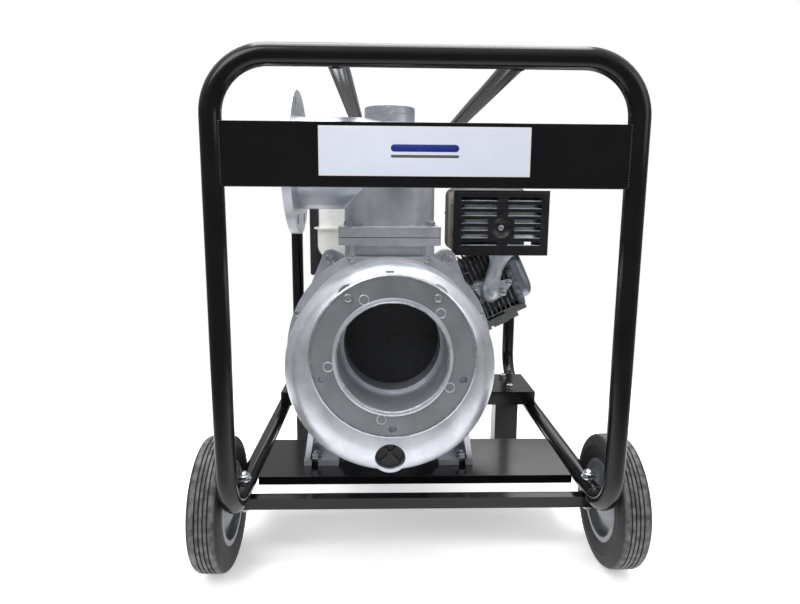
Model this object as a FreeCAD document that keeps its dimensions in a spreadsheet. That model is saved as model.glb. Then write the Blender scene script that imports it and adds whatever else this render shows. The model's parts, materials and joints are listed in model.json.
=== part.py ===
# Engine-driven trash pump on a two-wheeled tube frame.
#
# Frame of the model: origin on the ground under the middle of the frame, +X to the right,
# +Y from the suction end towards the recoil starter, +Z up, all lengths in millimetres.
import FreeCAD, Part
import math
import os

import Sketcher
from FreeCAD import Placement, Rotation, Vector

os.makedirs("parts", exist_ok=True)
doc = FreeCAD.newDocument("TrashPump")
sheet = doc.addObject("Spreadsheet::Sheet", "Sizes")

drivingSizes = {
    # tube frame
    "tubeDiameter": 28, "tubeWall": 2, "hoopHalfWidth": 270.6, "hoopHalfDepth": 363.5,
    "hoopTop": 744.5, "railLevel": 125.3, "topBend": 73, "footBend": 64, "topRailOffset": 114.3,
    "beamTop": 664.5, "beamHeight": 80, "beamFront": -372, "sheetThick": 3,
    "labelWide": 267, "labelTall": 61, "labelShift": -2.5,
    # plates and legs that carry the pump and the engine
    "pumpPlateTop": 126, "pumpPlateFront": -230, "pumpPlateRear": -77, "pumpPlateLip": 14.3,
    "enginePlateTop": 168, "enginePlateFront": 75, "enginePlateRear": 209,
    "legOffset": 220, "legWide": 50, "legFront": 118, "legDeep": 48, "padTall": 8,
    # axle and wheels
    "axleSetback": 266.7, "axleBar": 18, "axleRadius": 8, "wheelRadius": 102.3,
    "tyreInside": 286, "tyreWide": 46, "rimRadius": 60, "hubRadius": 17,
    # pump
    "pumpOffset": -44.5, "shaftHeight": 300, "coverHeight": 334, "coverRadius": 148.5,
    "coverWall": 8, "coverFront": -366, "casingFront": -205, "casingRear": -75,
    "suctionHeight": 362, "suctionShift": 3, "suctionBore": 150, "throatBore": 141,
    "suctionFlange": 222, "suctionFace": -372, "suctionBoltCircle": 200, "suctionHole": 11,
    "tubeBack": -256, "boltCircle": 155.5, "neckFlange": 162, "neckCentre": -128,
    "neckTop": 511, "dischargeHeight": 628, "elbowDiameter": 150, "elbowBore": 136,
    "dischargeFlange": 230, "dischargeFace": -206, "dischargeThick": 14,
    "dischargeBoltCircle": 196, "dischargeHole": 18, "impellerRadius": 86,
    # engine
    "ptoFace": 29, "crankcaseRear": 200, "crankcaseRadius": 110, "cylinderTilt": 25,
    "cylinderMiddle": 115, "boreRadius": 44, "stroke": 64, "rodLength": 110,
    "deckHeight": 178, "headLength": 106, "shaftRadius": 16, "fanRadius": 130,
    "fanRear": 285, "recoilRear": 345,
}


class Size:
    """A length together with the sheet formula that gives it."""

    def __init__(self, value, formula):
        self.value = float(value)
        self.formula = formula

    def joined(self, other, sign, swap=False):
        other = asSize(other)
        first, second = (other, self) if swap else (self, other)
        results = {"+": lambda a, b: a + b, "-": lambda a, b: a - b,
                   "*": lambda a, b: a * b, "/": lambda a, b: a / b}
        value = results[sign](first.value, second.value)
        return Size(value, "(%s %s %s)" % (first.formula, sign, second.formula))

    def __add__(self, other):
        return self.joined(other, "+")

    def __radd__(self, other):
        return self.joined(other, "+", swap=True)

    def __sub__(self, other):
        return self.joined(other, "-")

    def __rsub__(self, other):
        return self.joined(other, "-", swap=True)

    def __mul__(self, other):
        return self.joined(other, "*")

    def __rmul__(self, other):
        return self.joined(other, "*", swap=True)

    def __truediv__(self, other):
        return self.joined(other, "/")

    def __neg__(self):
        return self.joined(-1, "*")

    def __float__(self):
        return self.value


def asSize(length):
    return length if isinstance(length, Size) else Size(length, "(%.6f)" % length)


def fillSheet():
    for row, (alias, value) in enumerate(drivingSizes.items(), start=1):
        sheet.set("A%d" % row, alias)
        sheet.set("B%d" % row, "%g" % value)
        sheet.setAlias("B%d" % row, alias)
    doc.recompute()


def size(alias):
    return Size(drivingSizes[alias], "Sizes." + alias)


fillSheet()
subParts = []
counters = {}

# directions that a piece's own axis is turned to
alongX = Rotation(Vector(0, 1, 0), 90)
alongY = Rotation(Vector(1, 0, 0), -90)
alongZ = Rotation()
turnTo = {"X": alongX, "Y": alongY, "Z": alongZ}


def newName(kind):
    counters[kind] = counters.get(kind, 0) + 1
    return "%s_%03d" % (kind, counters[kind])


def bind(piece, path, length):
    """Bind one property of a piece to the sheet, when its length comes from there."""
    if isinstance(length, Size):
        piece.setExpression(path, length.formula)


def moveTo(piece, x, y, z, turn=None):
    """Give a piece its Placement and bind what comes from the sheet."""
    piece.Placement = Placement(Vector(float(x), float(y), float(z)), turn or Rotation())
    for letter, length in zip("xyz", (x, y, z)):
        bind(piece, "Placement.Base." + letter, length)
    return piece


def setSizes(piece, **lengths):
    for prop, length in lengths.items():
        setattr(piece, prop, float(length))
        bind(piece, prop, length)
    return piece


def block(xs, ys, zs):
    """A box between two values on each axis."""
    piece = doc.addObject("Part::Box", newName("Block"))
    setSizes(piece, Length=xs[1] - xs[0], Width=ys[1] - ys[0], Height=zs[1] - zs[0])
    return moveTo(piece, xs[0], ys[0], zs[0])


def rod(axis, middle, span, radius):
    """A cylinder along an axis; middle is its place across that axis, in X, Y, Z order."""
    piece = doc.addObject("Part::Cylinder", newName("Rod"))
    setSizes(piece, Radius=radius, Height=span[1] - span[0])
    place = list(middle)
    place.insert("XYZ".index(axis), span[0])
    return moveTo(piece, *place, turn=turnTo[axis])


def hexagon(axis, middle, span, acrossCorners):
    """A six-sided prism along an axis, as on a bolt head or a nut."""
    piece = doc.addObject("Part::Prism", newName("Hexagon"))
    piece.Polygon = 6
    setSizes(piece, Circumradius=acrossCorners / 2, Height=span[1] - span[0])
    place = list(middle)
    place.insert("XYZ".index(axis), span[0])
    return moveTo(piece, *place, turn=turnTo[axis])


def bend(centre, bendRadius, radius, start, end):
    """A quarter of a torus from direction start to direction end about its centre."""
    piece = doc.addObject("Part::Torus", newName("Bend"))
    setSizes(piece, Radius1=bendRadius, Radius2=radius)
    piece.Angle3 = 90
    turn = Rotation(start, end, start.cross(end), "XYZ")
    return moveTo(piece, *centre, turn=turn)


def fuse(pieces):
    if len(pieces) == 1:
        return group(pieces)
    joined = doc.addObject("Part::MultiFuse", newName("Joined"))
    joined.Shapes = pieces
    return joined


def cut(base, tools):
    """Take one or more tools away from a base."""
    tool = tools[0] if len(tools) == 1 else fuse(tools)
    result = doc.addObject("Part::Cut", newName("Cut"))
    result.Base = base
    result.Tool = tool
    return result


def common(first, second):
    result = doc.addObject("Part::Common", newName("Common"))
    result.Base = first
    result.Tool = second
    return result


def group(pieces):
    """Separate solids that share one node."""
    result = doc.addObject("Part::Compound", newName("Group"))
    result.Links = pieces
    return result


def rounded(piece, radius, wanted=lambda edge: True):
    """Round the edges of a piece that the test picks."""
    doc.recompute()
    result = doc.addObject("Part::Fillet", newName("Rounded"))
    result.Base = piece
    result.Edges = [(number, float(radius), float(radius))
                    for number, edge in enumerate(piece.Shape.Edges, start=1) if wanted(edge)]
    return result


def uprightEdge(edge):
    low, high = edge.BoundBox.ZMin, edge.BoundBox.ZMax
    return edge.BoundBox.XLength < 0.01 and edge.BoundBox.YLength < 0.01 and high - low > 0.5


def pillow(xs, ys, zs, radius):
    """A box with every edge rounded."""
    return rounded(block(xs, ys, zs), radius)


def finish(piece, label, at=(0, 0, 0), turn=None):
    """Name a sub-part, place it and keep it for the export."""
    moveTo(piece, *at, turn=turn)
    piece.Label = label
    subParts.append(piece)
    return piece


def originPlane(body, role):
    return [feature for feature in body.Origin.OriginFeatures if feature.Role == role][0]


def drawOutline(sketch, points):
    """Draw a closed outline of straight lines and pin each corner to the sketch's axes."""
    corners = [Vector(float(x), float(y), 0) for x, y in points]
    total = len(corners)
    for index, corner in enumerate(corners):
        sketch.addGeometry(Part.LineSegment(corner, corners[(index + 1) % total]), False)
    for index in range(total):
        sketch.addConstraint(Sketcher.Constraint("Coincident", index, 2, (index + 1) % total, 1))
    for index, point in enumerate(points):
        for kind, length in zip(("DistanceX", "DistanceY"), point):
            pinned = Sketcher.Constraint(kind, -1, 1, index, 1, float(length))
            number = sketch.addConstraint(pinned)
            bind(sketch, "Constraints[%d]" % number, length)


def newSketch(body, role, points):
    sketch = body.newObject("Sketcher::SketchObject", newName("Sketch"))
    sketch.AttachmentSupport = [(originPlane(body, role), "")]
    sketch.MapMode = "FlatFace"
    drawOutline(sketch, points)
    return sketch


def turned(profile, rounds=()):
    """A body of revolution about its own Z axis from (along, radius) corners.

    Each round is (along, radius, fillet): the circular edge there gets that fillet.
    """
    body = doc.addObject("PartDesign::Body", newName("Turned"))
    sketch = newSketch(body, "XZ_Plane", [(radius, along) for along, radius in profile])
    revolution = body.newObject("PartDesign::Revolution", newName("Revolution"))
    revolution.Profile = sketch
    revolution.ReferenceAxis = (sketch, ["V_Axis"])
    revolution.Angle = 360
    doc.recompute()
    for along, radius, fillet in rounds:
        tip = body.Tip
        names = ["Edge%d" % number for number, edge in enumerate(tip.Shape.Edges, start=1)
                 if isinstance(edge.Curve, Part.Circle) and abs(edge.Curve.Radius - float(radius)) < 0.01
                 and abs(edge.Curve.Center.z - float(along)) < 0.01]
        feature = body.newObject("PartDesign::Fillet", newName("Fillet"))
        feature.Base = (tip, names)
        setSizes(feature, Radius=fillet)
        doc.recompute()
    return body


def plate(outline, thick, role="XY_Plane"):
    """A flat body padded from an outline."""
    body = doc.addObject("PartDesign::Body", newName("Plate"))
    sketch = newSketch(body, role, outline)
    pad = body.newObject("PartDesign::Pad", newName("Pad"))
    pad.Profile = sketch
    setSizes(pad, Length=thick)
    return body


def web(outline, front, thick):
    """A plate that stands across Y: its outline is in X and Z and its front face at front."""
    body = plate([(x, -z) for x, z in outline], thick)
    return moveTo(body, 0, front, 0, turn=alongY)


def around(middle, circle, count, firstAngle):
    """Places on a bolt circle, in the two directions across its axis."""
    places = []
    for number in range(count):
        angle = math.radians(firstAngle + number * 360.0 / count)
        places.append((middle[0] + circle * math.cos(angle), middle[1] + circle * math.sin(angle)))
    return places


def fastener(axis, middle, grip, thread, headLow=True, nut=True):
    """A hexagon bolt through a grip, with a washer and a nut on its other end."""
    headTall, washerTall, nutTall = 0.65 * thread, 0.2 * thread, 0.85 * thread
    corners = 2.0 * thread
    low, high = grip
    if headLow:
        head = (low - headTall, low)
        washer = (high, high + washerTall)
        top = high + washerTall + nutTall
        shank = (low - headTall / 2, top + 0.3 * thread if nut else high)
        nutSpan = (high + washerTall, top)
    else:
        head = (high + washerTall, high + washerTall + headTall)
        washer = (high, high + washerTall)
        bottom = low - nutTall
        shank = (bottom - 0.3 * thread if nut else low, high + washerTall)
        nutSpan = (bottom, low)
    pieces = [hexagon(axis, middle, head, corners), rod(axis, middle, shank, thread / 2.0)]
    if nut or not headLow:
        pieces.append(rod(axis, middle, washer, 1.05 * thread))
    if nut:
        pieces.append(hexagon(axis, middle, nutSpan, corners))
    return fuse(pieces)


# ---------------------------------------------------------------- tube frame
tubeRadius = size("tubeDiameter") / 2
tubeBore = tubeRadius - size("tubeWall")
halfWidth = size("hoopHalfWidth")
halfDepth = size("hoopHalfDepth")
hoopTop = size("hoopTop")
railLevel = size("railLevel")
topBend = size("topBend")
footBend = size("footBend")
axleY = -size("axleSetback")
boltHole = 4.3


def hoopSolid(side, radius):
    """One end hoop as a solid run: two legs, a top bar, two corners and two foot bends."""
    level = side * halfDepth
    barEnd = halfWidth - topBend
    footTop = railLevel + footBend
    pieces = [rod("X", (level, hoopTop), (-barEnd, barEnd), radius)]
    for hand in (-1, 1):
        pieces.append(rod("Z", (hand * halfWidth, level), (footTop, hoopTop - topBend), radius))
        pieces.append(bend((hand * barEnd, level, hoopTop - topBend), topBend, radius,
                           Vector(hand, 0, 0), Vector(0, 0, 1)))
        pieces.append(bend((hand * halfWidth, side * (halfDepth - footBend), footTop), footBend,
                           radius, Vector(0, side, 0), Vector(0, 0, -1)))
    return fuse(pieces)


def makeHoops():
    for side, label in ((-1, "front_hoop"), (1, "rear_hoop")):
        finish(cut(hoopSolid(side, tubeRadius), [hoopSolid(side, tubeBore)]), label)


def makeRails():
    straight = halfDepth - footBend
    for hand, name in ((-1, "left"), (1, "right")):
        place = (hand * halfWidth, railLevel)
        outer = rod("Y", place, (-straight, straight), tubeRadius)
        bore = rod("Y", place, (-straight, straight), tubeBore)
        boltWay = rod("Z", (hand * halfWidth, axleY), (railLevel - 20, railLevel + 20), boltHole)
        finish(cut(outer, [bore, boltWay]), "base_rail_" + name)
        place = (hand * size("topRailOffset"), hoopTop)
        outer = rod("Y", place, (-halfDepth, halfDepth), tubeRadius)
        bore = rod("Y", place, (-halfDepth, halfDepth), tubeBore)
        saddles = [rod("X", (side * halfDepth, hoopTop), (-200, 200), tubeRadius) for side in (-1, 1)]
        finish(cut(outer, [bore] + saddles), "top_rail_" + name)


def makeFrontBeam():
    front, top = size("beamFront"), size("beamTop")
    bottom = top - size("beamHeight")
    thick = 2.5
    lip = 18
    halfBeam = 262
    channel = fuse([block((-halfBeam, halfBeam), (front, front + thick), (bottom, top)),
                    block((-halfBeam, halfBeam), (front, front + lip), (top - thick, top)),
                    block((-halfBeam, halfBeam), (front, front + lip), (bottom, bottom + thick))])
    legs = [rod("Z", (hand * halfWidth, -halfDepth), (bottom - 10, top + 10), tubeRadius)
            for hand in (-1, 1)]
    finish(cut(channel, legs), "front_beam")
    middle = size("labelShift")
    half = size("labelWide") / 2
    level = top - size("beamHeight") / 2 + 4.5
    finish(block((middle - half, middle + half), (front - 0.8, front),
                 (level - size("labelTall") / 2, level + size("labelTall") / 2)), "label_plate")


def makePlates():
    thick = size("sheetThick")
    top, front, rear = size("pumpPlateTop"), size("pumpPlateFront"), size("pumpPlateRear")
    half = halfWidth - tubeRadius - 0.3
    low = top - size("pumpPlateLip")
    deck = fuse([block((-half, half), (front, rear), (top - thick, top)),
                 block((-half, half), (front, front + thick), (low, top)),
                 block((-half, half), (rear - thick, rear), (low, top))])
    holes = [rod("Z", (x, footBoltY), (low, top + 1), 5.3) for x in footBoltXs]
    finish(cut(deck, holes), "pump_base_plate")

    top, front, rear = size("enginePlateTop"), size("enginePlateFront"), size("enginePlateRear")
    low = railLevel + tubeRadius
    deck = fuse([block((-halfWidth, halfWidth), (front, rear), (top - thick, top)),
                 block((-halfWidth, halfWidth), (front, front + thick), (low, top)),
                 block((-halfWidth, halfWidth), (rear - thick, rear), (low, top))])
    holes = [rod("Z", (x, y), (top - 5, top + 1), 4.3) for x, y in engineBoltPlaces]
    holes += [rod("Z", (x, y), (top - 5, top + 1), boltHole) for x, y in legBoltPlaces]
    finish(cut(deck, holes), "engine_base_plate")


def makeLegs():
    thick = 3
    top = size("enginePlateTop") - size("sheetThick")
    pad = size("padTall")
    front, rear = size("legFront"), size("legFront") + size("legDeep")
    legs = []
    pads = []
    for hand in (-1, 1):
        inner = hand * size("legOffset") - size("legWide") / 2
        outer = inner + size("legWide")
        channel = fuse([block((inner, outer), (front, front + thick), (pad, top)),
                        block((inner, inner + thick), (front, rear), (pad, top)),
                        block((outer - thick, outer), (front, rear), (pad, top)),
                        block((inner, outer), (front - 28, rear + 28), (top - thick, top)),
                        block((inner - 4, outer + 4), (front - 6, rear + 6), (pad, pad + thick))])
        holes = [rod("Z", place, (top - 5, top + 1), boltHole)
                 for place in legBoltPlaces if float(place[0]) * hand > 0]
        legs.append(cut(channel, holes))
        pads.append(block((inner - 4, outer + 4), (front - 6, rear + 6), (0, pad)))
    finish(group(legs), "rear_legs")
    finish(group(pads), "leg_pads")


def makeAxle():
    half = size("axleBar") / 2
    level = size("wheelRadius")
    middle = (axleY, level)
    barEnd = size("tyreInside") - 0.5
    axleEnd = size("tyreInside") + size("tyreWide") - 0.2
    bar = block((-barEnd, barEnd), (axleY - half, axleY + half), (level - half, level + half))
    axle = rod("X", middle, (-axleEnd, axleEnd), size("axleRadius"))
    ways = [rod("Z", (hand * halfWidth, axleY), (level - 20, level + 20), boltHole) for hand in (-1, 1)]
    ways += [rod("Y", (hand * (axleEnd - 1.7), level), (axleY - 12, axleY + 12), 1.3) for hand in (-1, 1)]
    finish(cut(fuse([bar, axle]), ways), "axle_beam")

    retainers = []
    for hand in (-1, 1):
        near, far = axleEnd - 4.9, axleEnd - 3.4
        span = (near, far) if hand > 0 else (-far, -near)
        washer = cut(rod("X", middle, span, 15), [rod("X", middle, span, size("axleRadius"))])
        retainers.append(washer)
        retainers.append(rod("Y", (hand * (axleEnd - 1.7), level), (axleY - 12, axleY + 12), 1.3))
    finish(group(retainers), "wheel_retainers")


def makeFrameBolts():
    thread = 8
    low = size("wheelRadius") - size("axleBar") / 2
    high = railLevel + tubeRadius
    bolts = [fastener("Z", (hand * halfWidth, axleY), (low, high), thread) for hand in (-1, 1)]
    top = size("enginePlateTop")
    grip = (top - size("sheetThick") - 3, top)
    bolts += [fastener("Z", place, grip, thread) for place in legBoltPlaces]
    finish(group(bolts), "frame_bolts")


# ---------------------------------------------------------------- wheels
def makeWheels():
    wide, radius = size("tyreWide"), size("wheelRadius")
    rim, hub, bore = size("rimRadius"), size("hubRadius"), size("axleRadius") + 2
    grooveDeep, grooveHalf = 2, 0.8
    tread = []
    for groove in (14, 20, 26, 32):
        tread += [(groove - grooveHalf, radius), (groove - grooveHalf, radius - grooveDeep),
                  (groove + grooveHalf, radius - grooveDeep), (groove + grooveHalf, radius)]
    tyreProfile = [(4, rim), (4, rim + 4.4), (0, rim + 16), (0, radius - 13), (4, radius - 3), (10, radius)]
    tyreProfile += tread
    tyreProfile += [(wide - 10, radius), (wide - 4, radius - 3), (wide, radius - 13), (wide, rim + 16),
                    (wide - 4, rim + 4.4), (wide - 4, rim)]
    flange, barrel = rim + 4, rim - 4
    rimProfile = [(1, bore), (1, hub), (5, hub + 9), (13, rim - 14), (13, barrel), (2, barrel),
                  (2, flange), (4, flange), (4, rim), (wide - 4, rim), (wide - 4, flange),
                  (wide - 2, flange), (wide - 2, barrel), (17, barrel), (17, rim - 16), (9, hub + 7),
                  (9, hub), (wide - 5.5, hub), (wide - 5.5, bore)]
    bushProfile = [(1, size("axleRadius") + 0.05), (1, bore), (wide - 5.5, bore),
                   (wide - 5.5, size("axleRadius") + 0.05)]
    pieces = {"tyre": tyreProfile, "rim": rimProfile, "bush": bushProfile}
    for hand, side in ((-1, "left"), (1, "right")):
        place = (hand * size("tyreInside"), axleY, size("wheelRadius"))
        for name, profile in pieces.items():
            finish(turned(profile), "wheel_%s_%s" % (side, name), place, Rotation(Vector(0, 1, 0), hand * 90))


# ---------------------------------------------------------------- pump
# Pump pieces are drawn about X = 0, the middle of the casing, and then moved over to pumpOffset.
pumpPlace = (size("pumpOffset"), 0, 0)
coverHeight = size("coverHeight")
shaftHeight = size("shaftHeight")
suction = (size("suctionShift"), size("suctionHeight"))
shell = (0, coverHeight)
shaft = (0, shaftHeight)
chamber = size("coverRadius") - size("coverWall")
casingFront = size("casingFront")
casingRear = size("casingRear")
coverRear = casingFront - 1
suctionPlaces = around(suction, size("suctionBoltCircle") / 2, 5, -90)
coverBoltPlaces = around(shell, size("boltCircle"), 8, 22.5)
earPlaces = [(-102, 468), (102, 468)]
footBoltY = -178
footBoltXs = [size("pumpOffset") - 125, size("pumpOffset") + 125]
legBoltPlaces = [(hand * (size("legOffset") + 2), y) for hand in (-1, 1) for y in (102, 181)]
engineBoltPlaces = [(size("pumpOffset") + hand * 119, y) for hand in (-1, 1) for y in (92, 186)]
neckHalf = size("neckFlange") / 2
neckBoltPlaces = [(x, size("neckCentre") + y) for x in (-64, 64) for y in (-67, 67)]
gasketThick = 1
coverThread = 6
coverBoltHole = 3.3
plugHeight = 217
plugSeat = -338
knobRadius = 19.7
hinge = (-247, 450)


def onShell(profile, rounds=()):
    """A body turned about the cover's own middle line."""
    return moveTo(turned(profile, rounds), 0, 0, coverHeight, turn=alongY)


def neckClearance(front, back):
    """Takes the top of the bolting flange off, where the neck stands above it."""
    return block((-72, 72), (front, back), (coverHeight + size("coverRadius") - 0.5, 500))


def makeSuctionCover():
    front, radius, wall = size("coverFront"), size("coverRadius"), size("coverWall")
    dish = onShell([(front, 0), (front, radius), (coverRear, radius), (coverRear, chamber),
                    (front + wall, chamber), (front + wall, 0)],
                   [(front, radius, 45), (front + wall, chamber, 37)])
    face = size("suctionFace")
    flangeBack = face + 12
    tubeBack = size("tubeBack")
    boss = onShell([(coverRear - 10, radius - 4), (coverRear - 10, 162), (coverRear, 162),
                    (coverRear, radius - 4)])
    boss = cut(boss, [neckClearance(coverRear - 11, coverRear + 1)])
    lugs = [block((size("suctionShift") + low, size("suctionShift") + low + 10), (-272, -238), (440, 460))
            for low in (-24, 14)]
    solids = [dish, boss,
              rod("Y", suction, (face, flangeBack), size("suctionFlange") / 2),
              rod("Y", suction, (face - 2, face), size("suctionBore") / 2 + 5),
              rod("Y", suction, (face, tubeBack), size("suctionBore") / 2 + 9),
              rod("Y", (0, plugHeight), (-352, -316), knobRadius + 7)] + lugs
    step, pocketFloor = -291, -348
    tools = [rod("Y", suction, (face - 5, step), size("suctionBore") / 2),
             rod("Y", suction, (step, tubeBack + 1), size("throatBore") / 2),
             rod("Y", (0, plugHeight), (-380, plugSeat), knobRadius + 1.6),
             rod("Y", (0, plugHeight), (plugSeat, -300), 15.3),
             rod("X", hinge, (-40, 40), 4)]
    tools += [rod("Y", place, (face - 1, flangeBack + 1), size("suctionHole") / 2) for place in suctionPlaces]
    tools += [rod("Y", place, (flangeBack, pocketFloor), 15) for place in suctionPlaces[2:4]]
    tools += [rod("Y", place, (coverRear - 11, coverRear + 1), coverBoltHole) for place in coverBoltPlaces]
    finish(cut(fuse(solids), tools), "suction_cover", pumpPlace)


def makeCheckValve():
    face, back = size("tubeBack") + 0.6, size("tubeBack") + 8.6
    shift = size("suctionShift")
    bumps = [rod("Y", place, (face - 2, face + 1), 4) for place in around(suction, 57, 8, 0)]
    solids = [rod("Y", suction, (face, back), 77), rod("Y", suction, (face - 3, face + 1), 6),
              block((shift - 12, shift + 12), (face, back), (430, 450)),
              rod("X", hinge, (shift - 12, shift + 12), 8.2)] + bumps
    finish(cut(fuse(solids), [rod("X", hinge, (-40, 40), 4.05)]), "check_valve_flap", pumpPlace)
    pin = rod("X", hinge, (shift - 26, shift + 26), 4)
    finish(pin, "flap_hinge_pin", (size("pumpOffset") + shift - 26,) + hinge, alongX)


def earOutline(hand):
    return [(hand * x, z) for x, z in ((118, 470), (163, 360), (60, 380), (60, 462), (96, 483))]


def makeCasing():
    radius = size("coverRadius")
    barrel = onShell([(casingFront, chamber), (casingFront, 162), (casingFront + 10, 162),
                      (casingFront + 10, radius), (casingRear, radius), (casingRear, 0),
                      (casingRear - 8, 0), (casingRear - 8, chamber)])
    flangeFront = casingRear - 20
    neckFront, neckRear = size("neckCentre") - 70, size("neckCentre") + 70
    flangeTop = size("neckTop")
    flangeLow = flangeTop - 12
    barrel = cut(barrel, [neckClearance(casingFront - 1, neckFront + 1)])
    solids = [barrel, rod("Y", (0, 310), (flangeFront, casingRear), 171),
              block((-70, 70), (neckFront, flangeFront), (420, flangeLow)),
              block((-70, 70), (flangeFront, neckRear), (462, flangeLow)),
              rounded(block((-neckHalf, neckHalf),
                            (size("neckCentre") - neckHalf, size("neckCentre") + neckHalf),
                            (flangeLow, flangeTop)), 14, uprightEdge)]
    for hand in (-1, 1):
        solids.append(rod("Z", (hand * 62, neckFront + 6), (420, flangeLow), 9))
        solids.append(web(earOutline(hand), flangeFront, 20))
        solids.append(rod("Y", (hand * 102, 468), (flangeFront, casingRear), 16))
        solids.append(block((min(hand * 84.5, hand * 143), max(hand * 84.5, hand * 143)), (-190, -95),
                            (size("pumpPlateTop"), size("pumpPlateTop") + 10)))
        outerRib = [(143, 130), (134, 130), (116, 240), (127, 240)]
        innerWeb = [(140, 130), (95, 130), (52, 195), (90, 225), (122, 240)]
        solids.append(web([(hand * x, z) for x, z in outerRib], -190, 95))
        solids.append(web([(hand * x, z) for x, z in innerWeb], -160, 12))
    tools = [rod("Y", shell, (casingFront - 1, casingRear - 8), chamber),
             rod("Y", shaft, (casingRear - 10, casingRear + 1), 28),
             block((-62, 62), (neckFront + 8, casingRear - 8), (400, 480)),
             block((-62, 62), (neckFront + 8, neckRear - 8), (478, flangeTop + 1)),
             block((-53, 53), (neckFront - 1, neckFront + 4), (430, flangeLow - 3))]
    tools += [rod("Y", place, (flangeFront - 1, casingRear + 1), 5.2) for place in earPlaces]
    tools += [rod("Y", place, (casingFront - 1, casingFront + 11), coverBoltHole) for place in coverBoltPlaces]
    tools += [rod("Z", place, (flangeLow - 1, flangeTop + 1), 4.3) for place in neckBoltPlaces]
    for hand in (-1, 1):
        slotLow, slotHigh = hand * 125 - 5.5, hand * 125 + 5.5
        tools.append(block((slotLow, slotHigh), (-195, footBoltY), (size("pumpPlateTop") - 1, 137)))
        tools.append(rod("Z", (hand * 125, footBoltY), (size("pumpPlateTop") - 1, 137), 5.5))
        tools.append(rod("Z", (hand * 125, footBoltY), (size("pumpPlateTop") + 10, 165), 11.5))
    finish(cut(fuse(solids), tools), "pump_casing", pumpPlace)


def makeVolute():
    back = casingRear - 8
    profile = [(-140, 50), (-140, 104), (back, 104), (back, 98), (-134, 98), (-134, 50)]
    ring = moveTo(turned(profile), 0, 0, shaftHeight, turn=alongY)
    outlet = block((-40, 40), (-133, back - 4), (shaftHeight + 40, shaftHeight + 120))
    finish(cut(ring, [outlet]), "volute", pumpPlace)


def makeGaskets():
    thickness = (coverRear, casingFront)
    ring = cut(rod("Y", shell, thickness, 162),
               [rod("Y", shell, thickness, chamber), neckClearance(coverRear - 1, casingFront + 1)])
    holes = [rod("Y", place, thickness, coverBoltHole) for place in coverBoltPlaces]
    top = size("neckTop")
    square = block((-neckHalf, neckHalf), (size("neckCentre") - neckHalf, size("neckCentre") + neckHalf),
                   (top, top + gasketThick))
    window = block((-62, 62), (size("neckCentre") - 62, size("neckCentre") + 62), (top, top + gasketThick))
    squareHoles = [rod("Z", place, (top, top + gasketThick), 4.3) for place in neckBoltPlaces]
    finish(group([cut(ring, holes), cut(rounded(square, 14, uprightEdge), [window] + squareHoles)]),
           "pump_gaskets", pumpPlace)


def makeElbow():
    low = size("neckTop") + gasketThick
    flangeTop = low + 16
    middle = (0, size("neckCentre"))
    branch = (size("neckCentre"), size("dischargeHeight"))
    radius, bore = size("elbowDiameter") / 2, size("elbowBore") / 2
    face = size("dischargeFace") - size("pumpOffset")
    bodyTop = size("dischargeHeight") + radius - 15
    bossTop = bodyTop + 16.3
    bossRadius = 41
    stemRadius = 33
    spigotDeep = 80
    square = rounded(block((-neckHalf, neckHalf), (middle[1] - neckHalf, middle[1] + neckHalf),
                           (low, flangeTop)), 14, uprightEdge)
    barrel = rounded(rod("Z", middle, (low, bodyTop), radius), 12,
                     lambda edge: edge.BoundBox.ZMin > float(bodyTop) - 1)
    solids = [square, barrel, rod("X", branch, (face, 0), radius - 1),
              rod("X", branch, (face, face + size("dischargeThick")), size("dischargeFlange") / 2),
              rod("Z", middle, (bodyTop - 5, bossTop), bossRadius)]
    tools = [rod("Z", middle, (low - 1, bodyTop - 8), bore),
             rod("X", branch, (face - 1, face + spigotDeep), bore), rod("X", branch, (face, 0), bore - 2),
             rod("Z", middle, (bodyTop - 10, bossTop + 1), stemRadius + 0.3)]
    tools += [rod("X", place, (face - 1, face + size("dischargeThick") + 1), size("dischargeHole") / 2)
              for place in around(branch, size("dischargeBoltCircle") / 2, 8, 22.5)]
    tools += [rod("Z", place, (low - 1, flangeTop + 1), 4.3) for place in neckBoltPlaces]
    finish(cut(fuse(solids), tools), "discharge_elbow", pumpPlace)

    capLow, capThick = bossTop + 0.3, 12.1
    capTop = capLow + capThick
    grip = block((1 - stemRadius, stemRadius - 1), (middle[1] - 6, middle[1] + 6), (capTop - 6, capTop - 0.5))
    capShape = fuse([cut(rod("Z", middle, (capLow, capTop), bossRadius),
                         [rod("Z", middle, (capTop - 5.5, capTop + 1), stemRadius)]),
                     rod("Z", middle, (bodyTop - 8, capLow), stemRadius), grip])
    finish(capShape, "priming_plug", pumpPlace)


def makeDrainPlug():
    seat = plugSeat - 0.4
    knobFront = seat - 9
    ribs = []
    for angle in (45, 135):
        rib = block((1.5 - knobRadius, knobRadius - 1.5), (0, 3), (-2.5, 2.5))
        ribs.append(moveTo(fuse([rib]), 0, knobFront - 2.5, plugHeight, Rotation(Vector(0, 1, 0), angle)))
    finish(fuse([rod("Y", (0, plugHeight), (knobFront, seat), knobRadius),
                 rod("Y", (0, plugHeight), (seat, seat + 18), 15),
                 rod("Y", (0, plugHeight - 7), (knobFront, seat - 2), 12)] + ribs), "drain_plug", pumpPlace)


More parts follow.
